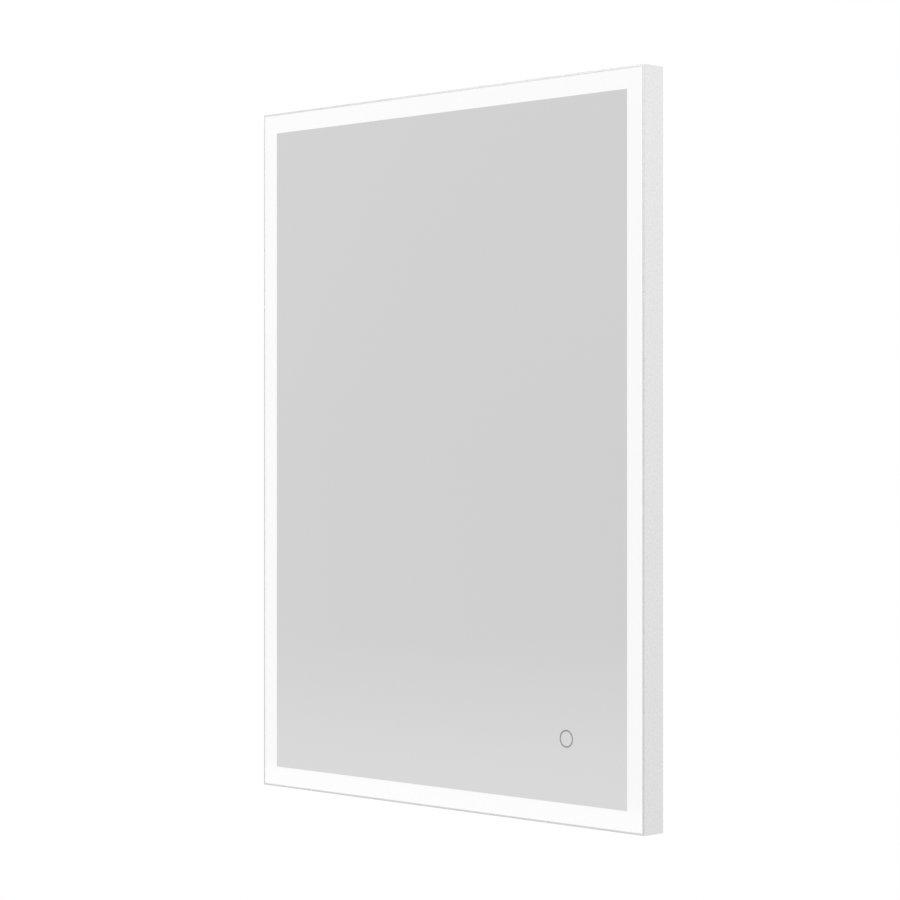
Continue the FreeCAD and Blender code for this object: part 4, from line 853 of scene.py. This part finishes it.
    def seal(self) -> bpy.types.Object:
        """Makes the silicone bead round the pane: filled from behind, its face a shallow curve.

        Returns:
            The new piece.
        """
        inset = np.linspace(-self.seal_gap, 0, len(self.seal_sag_mm))
        face = np.stack([inset, self.front - np.array(self.seal_sag_mm) * MM], axis=1)
        back = np.array([(0, self.back), (-self.seal_gap, self.back)])
        points, faces = frame_sweep(np.concatenate([face, back]), self.low, self.high)
        piece = make_piece("glass_edge_bead", points, faces)
        # Its finish paints the light from the glass's edge on the bead as a glow.
        finish = PAINTS_AND_PLASTICS["clear_silicone"]
        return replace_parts(dress(piece, finish), "glass_edge_seal")

    def build(self) -> None:
        """Makes every piece of the pane."""
        self.field()
        self.touch_disc()
        self.touch_ring()
        self.band()
        self.ground_edge()
        self.seal()


@dataclass
class RailWelds:
    """Resistance spot welds where the channel rails' feet meet the back panel.

    Each is the electrode's mark: a low round button with a rolled edge.
    """

    foot_from_edge: float = 5.5 * MM
    foot_thickness: float = 1.0 * MM
    pitch: float = 82.0 * MM
    end_margin: float = 45.0 * MM
    # The mark from its middle to its edge and under the foot's face: (radius, height).
    profile_mm: tuple[tuple[float, float], ...] = (
        (0.0, 0.10), (1.6, 0.12), (2.1, 0.26), (2.5, 0.24), (2.8, 0.08), (2.9, -0.2), (0.0, -0.2))
    steps: int = 20

    def line(self, start: tuple[float, float], end: tuple[float, float], depth: float) -> np.ndarray:
        """Evenly spaced places along a foot: start + share * (end - start).

        Args:
            start: one end of the foot, across and up.
            end: its other end.
            depth: the depth of the foot's rear face.

        Returns:
            The places, as rows of (x, y, z).
        """
        length = math.dist(start, end) - 2 * self.end_margin
        share = np.linspace(0, 1, round(length / self.pitch) + 1)
        margin = self.end_margin / math.dist(start, end)
        share = (margin + share * (1 - 2 * margin))[:, None]
        flat = np.array(start) + share * (np.array(end) - np.array(start))
        return np.stack([flat[:, 0], np.full(len(flat), -depth), flat[:, 1]], axis=1)

    def build(self) -> bpy.types.Object:
        """Makes the welds along the feet of all four rails.

        Returns:
            All of them as one piece.
        """
        low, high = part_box("channel_rail_left")[1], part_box("channel_rail_right")[0]
        top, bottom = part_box("channel_rail_top")[0].z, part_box("channel_rail_bottom")[1].z
        left, right = low.x - self.foot_from_edge, high.x + self.foot_from_edge
        top, bottom = top + self.foot_from_edge, bottom - self.foot_from_edge
        depth = -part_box("channel_rail_top")[0].y - self.foot_thickness
        sides = [((left, bottom), (right, bottom)), ((left, top), (right, top)),
                 ((left, bottom), (left, top)), ((right, bottom), (right, top))]
        places = np.concatenate([self.line(start, end, depth) for start, end in sides])
        profile = np.array(self.profile_mm) * MM * (1, -1)
        button = revolve(profile, 0.0, 0.0, self.steps, False)
        points, faces = repeat(*button, places)
        piece = make_piece("rail_spot_welds", points, faces, smooth=True)
        return dress(piece, PAINTS_AND_PLASTICS["white_paint"])


@dataclass
class StiffeningBeads:
    """Long low beads pressed outwards in the back panel, which keep the thin sheet from drumming.

    At distance r from a bead's middle line the sheet stands out by
    height * (1 + cos(pi r / half width)) / 2, and the ends are round in the same way.
    """

    half_width: float = 5.0 * MM
    height: float = 1.2 * MM
    # The bead is sunk so that its rim lies just under the sheet's face, and its closed underside
    # lies deeper.
    sink: float = 0.01 * MM
    root: float = 0.3 * MM
    cap_steps: int = 10
    rings: int = 9
    # Each bead's two ends in mm, across and up.
    ends_mm: tuple[tuple[float, float, float, float], ...] = (
        (-215, 50, 215, 50), (-190, -80, 190, -80), (-190, -160, 190, -160),
        (-236, -70, -236, -630), (236, -70, 236, -570),
        (-185, -500, 150, -500), (-185, -570, 150, -570), (-185, -640, 150, -640))

    def bead(self, start: np.ndarray, end: np.ndarray, depth: float) -> Shape:
        """One bead: rings round its middle line, from the crest to the sheet and then under it.

        Args:
            start: one end of the middle line.
            end: the other end.
            depth: the depth of the sheet's rear face.

        Returns:
            The points and the faces.
        """
        along = (end - start) / np.linalg.norm(end - start)
        across = np.array([-along[1], along[0]])
        turn = np.linspace(0, math.pi, self.cap_steps)[:, None]
        cap = np.cos(turn) * -across + np.sin(turn) * along
        way = np.concatenate([cap, -cap])
        middle = np.concatenate([np.broadcast_to(end, cap.shape), np.broadcast_to(start, cap.shape)])
        share = np.linspace(0, 1, self.rings)
        rise = self.height * (1 + np.cos(math.pi * share)) / 2
        share = np.append(share, [1.0, 0.0])
        rise = np.append(rise - self.sink, [-self.root, -self.root])
        flat = middle[None] + share[:, None, None] * self.half_width * way[None]
        face = np.broadcast_to(-(depth - rise)[:, None], flat.shape[:2])
        points = np.stack([flat[..., 0], face, flat[..., 1]], axis=2)
        return points.reshape(-1, 3), grid_faces(len(share), len(way), False, True)

    def build(self) -> bpy.types.Object:
        """Makes all the beads.

        Returns:
            All of them as one piece.
        """
        depth = -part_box("back_panel")[1].y
        beads = [self.bead(np.array(ends[:2]) * MM, np.array(ends[2:]) * MM, depth)
                 for ends in self.ends_mm]
        counts = np.cumsum([0] + [len(points) for points, _ in beads[:-1]])
        points = np.concatenate([points for points, _ in beads])
        faces = np.concatenate([faces + count for (_, faces), count in zip(beads, counts)])
        piece = make_piece("panel_stiffening_beads", points, faces, smooth=True)
        return dress(piece, PAINTS_AND_PLASTICS["white_paint"])


@dataclass
class CadPieces:
    """The nodes that keep their CAD shape and only get their finish."""

    nodes: dict[str, bpy.types.Object]
    finishes: dict[str, Buildable] = field(default_factory=lambda: {
        **METALS, **PAINTS_AND_PLASTICS, "float_glass": SilveredGlass("float_glass_clear"),
        "core_insulation": CoreInsulation(), "earth_insulation": EarthInsulation()})

    def build(self) -> None:
        """Puts each slot's finish on the nodes that carry that slot's material."""
        made = {slot: finish.build() for slot, finish in self.finishes.items()}
        for name, node in sorted(self.nodes.items()):
            for number, material in enumerate(node.data.materials):
                node.data.materials[number] = made[material.name]
            log.info("%s: %s", name, node.data.materials[0].name)


# ---------------------------------------------------------------- studio


@dataclass
class Studio:
    """A plain pale studio: a floor, a white room behind the mirror and a pale one before it."""

    floor_z: float = -1.7
    floor_radius: float = 3.0
    floor_steps: int = 96
    floor_colours: tuple[str, str] = ("#F4F4F4", "#F8F8F8")
    floor_clouds_per_metre: float = 3.0
    # How much of what is seen of the floor is plain white. The rest keeps the shadow.
    floor_white: float = 0.5
    lens: float = 106.1
    sensor_width: float = 36.0
    camera_place: tuple[float, float, float] = (2.1033, -2.1123, -0.300)
    camera_turn: tuple[float, float, float] = (90.0, 0.0, 45.08)
    room_light: float = 0.72
    # How the pale room before the mirror goes from below the horizon to the ceiling:
    # (height of the direction, linear grey).
    room_greys: tuple[tuple[float, float], ...] = (
        (-0.30, 0.80), (-0.12, 0.785), (-0.070, 0.715), (0.00, 0.715), (0.14, 0.728), (0.60, 0.80))
    # The background goes from the pale greys before the mirror to white behind it between these
    # Y parts of a direction, and from the ceiling's grey to white between these Z parts.
    white_behind: tuple[float, float] = (-0.75, -0.15)
    white_below: tuple[float, float] = (0.55, 0.20)
    # The lamps: name, place, size, power.
    lamps: tuple[tuple[str, tuple[float, float, float], float, float], ...] = (
        ("key_soft_box", (-1.9, -2.9, 1.8), 1.8, 30.0),
        ("side_soft_box", (3.6, 1.6, 1.4), 2.6, 11.6),
        ("rear_soft_box", (-0.2, 2.6, 3.2), 2.6, 32.0),
    )

    def seen_rays(self, tree: bpy.types.NodeTree) -> bpy.types.NodeSocket:
        """Finds the rays that see the background itself: camera, glossy and transmission rays.

        Args:
            tree: the node tree.

        Returns:
            The socket with 1 for those rays and 0 for the rest.
        """
        rays = add_node(tree, "ShaderNodeLightPath").outputs
        first = add_node(tree, "ShaderNodeMath", {0: rays["Is Camera Ray"], 1: rays["Is Glossy Ray"]},
                         operation="MAXIMUM")
        both = add_node(tree, "ShaderNodeMath", {0: first.outputs[0], 1: rays["Is Transmission Ray"]},
                        operation="MAXIMUM")
        return both.outputs[0]

    def floor(self) -> bpy.types.Object:
        """Makes the floor: a flat disc of points (radius cos a, radius sin a).

        Returns:
            The floor.
        """
        angle = np.arange(self.floor_steps) * FULL_TURN / self.floor_steps
        rim = np.stack([np.cos(angle), np.sin(angle)], axis=1) * self.floor_radius
        points = np.concatenate([rim, np.full((len(rim), 1), self.floor_z)], axis=1)
        mesh = bpy.data.meshes.new("studio_floor")
        mesh.from_pydata(points.tolist(), [], [list(range(len(points)))])
        floor = bpy.data.objects.new("studio_floor", mesh)
        bpy.context.collection.objects.link(floor)
        # Painted plaster, trowelled smooth: pale and matt, with a faint cloud.
        material, tree = new_tree("painted_plaster_floor")
        place = add_node(tree, "ShaderNodeTexCoord").outputs["Object"]
        cloud = add_node(tree, "ShaderNodeTexNoise", {
            "Vector": place, "Scale": self.floor_clouds_per_metre})
        dim, pale = self.floor_colours
        colour = add_node(tree, "ShaderNodeMix", {
            "Factor": cloud.outputs[0], MIX_COLOUR_A: linear(dim), MIX_COLOUR_B: linear(pale)},
            data_type="RGBA")
        matt = add_node(tree, "ShaderNodeBsdfDiffuse", {"Color": colour.outputs[2]})
        white = add_node(tree, "ShaderNodeEmission", {"Color": WHITE, "Strength": 1.0})
        share = add_node(tree, "ShaderNodeMath", {0: self.seen_rays(tree), 1: self.floor_white},
                         operation="MULTIPLY")
        both = add_node(tree, "ShaderNodeMixShader", {0: share.outputs[0], 1: matt.outputs[0],
                                                      2: white.outputs[0]})
        add_node(tree, "ShaderNodeOutputMaterial", {"Surface": both.outputs[0]})
        mesh.materials.append(material)
        return floor

    def room(self) -> None:
        """Makes the world: plain light for the object, and the background that is seen and mirrored."""
        world = bpy.data.worlds.new("plain_studio")
        world.use_nodes = True
        bpy.context.scene.world = world
        tree = world.node_tree
        tree.nodes.clear()
        way = add_node(tree, "ShaderNodeSeparateXYZ", {
            0: add_node(tree, "ShaderNodeTexCoord").outputs["Generated"]})
        height = add_node(tree, "ShaderNodeMapRange", {
            "Value": way.outputs[2], "From Min": -1.0, "From Max": 1.0})
        ramp = add_node(tree, "ShaderNodeValToRGB", {"Fac": height.outputs[0]})
        stops = ramp.color_ramp.elements
        while len(stops) < len(self.room_greys):
            stops.new(0.5)
        for stop, (level, grey) in zip(stops, self.room_greys):
            stop.position = (level + 1) / 2
            stop.color = (grey, grey, grey, 1)
        behind, below = [add_node(tree, "ShaderNodeMapRange", {
            "Value": part, "From Min": limits[0], "From Max": limits[1]},
            interpolation_type="SMOOTHSTEP").outputs[0]
            for part, limits in ((way.outputs[1], self.white_behind),
                                 (way.outputs[2], self.white_below))]
        white = add_node(tree, "ShaderNodeMath", {0: behind, 1: below}, operation="MULTIPLY")
        seen = add_node(tree, "ShaderNodeMix", {
            "Factor": white.outputs[0], MIX_COLOUR_A: ramp.outputs[0], MIX_COLOUR_B: WHITE},
            data_type="RGBA")
        back = add_node(tree, "ShaderNodeBackground", {"Color": seen.outputs[2], "Strength": 1.0})
        light = add_node(tree, "ShaderNodeBackground", {"Color": WHITE, "Strength": self.room_light})
        both = add_node(tree, "ShaderNodeMixShader", {0: self.seen_rays(tree), 1: light.outputs[0],
                                                      2: back.outputs[0]})
        add_node(tree, "ShaderNodeOutputWorld", {"Surface": both.outputs[0]})

    def light(self) -> None:
        """Makes the soft boxes, each turned to the middle of the mirror."""
        middle = Vector((0, 0, self.camera_place[2]))
        for name, place, size, power in self.lamps:
            lamp = bpy.data.lights.new(name, "AREA")
            lamp.shape, lamp.size, lamp.energy = "SQUARE", size, power
            holder = bpy.data.objects.new(name, lamp)
            holder.location = place
            holder.rotation_euler = (middle - Vector(place)).to_track_quat("-Z", "Y").to_euler()
            bpy.context.collection.objects.link(holder)

    def camera(self) -> None:
        """Makes the camera at the photograph's angle, level with the middle of the mirror."""
        data = bpy.data.cameras.new("camera")
        data.lens, data.sensor_width = self.lens, self.sensor_width
        data.dof.use_dof = False
        holder = bpy.data.objects.new("camera", data)
        holder.location = self.camera_place
        holder.rotation_euler = [math.radians(turn) for turn in self.camera_turn]
        bpy.context.collection.objects.link(holder)
        bpy.context.scene.camera = holder

    def build(self) -> None:
        """Makes the camera, the lamps, the room and the floor."""
        self.camera()
        self.light()
        self.room()
        self.floor()
        bpy.context.scene.view_settings.view_transform = "Standard"


def main() -> None:
    """Builds the sub-assemblies in order."""
    logging.basicConfig(level=logging.INFO, format="%(name)s: %(message)s")
    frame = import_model()
    Studio().build()
    CadPieces(frame["nodes"]).build()
    Pane(*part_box("mirror_glass")).build()
    RailWelds().build()
    StiffeningBeads().build()


if __name__ == "__main__":
    main()
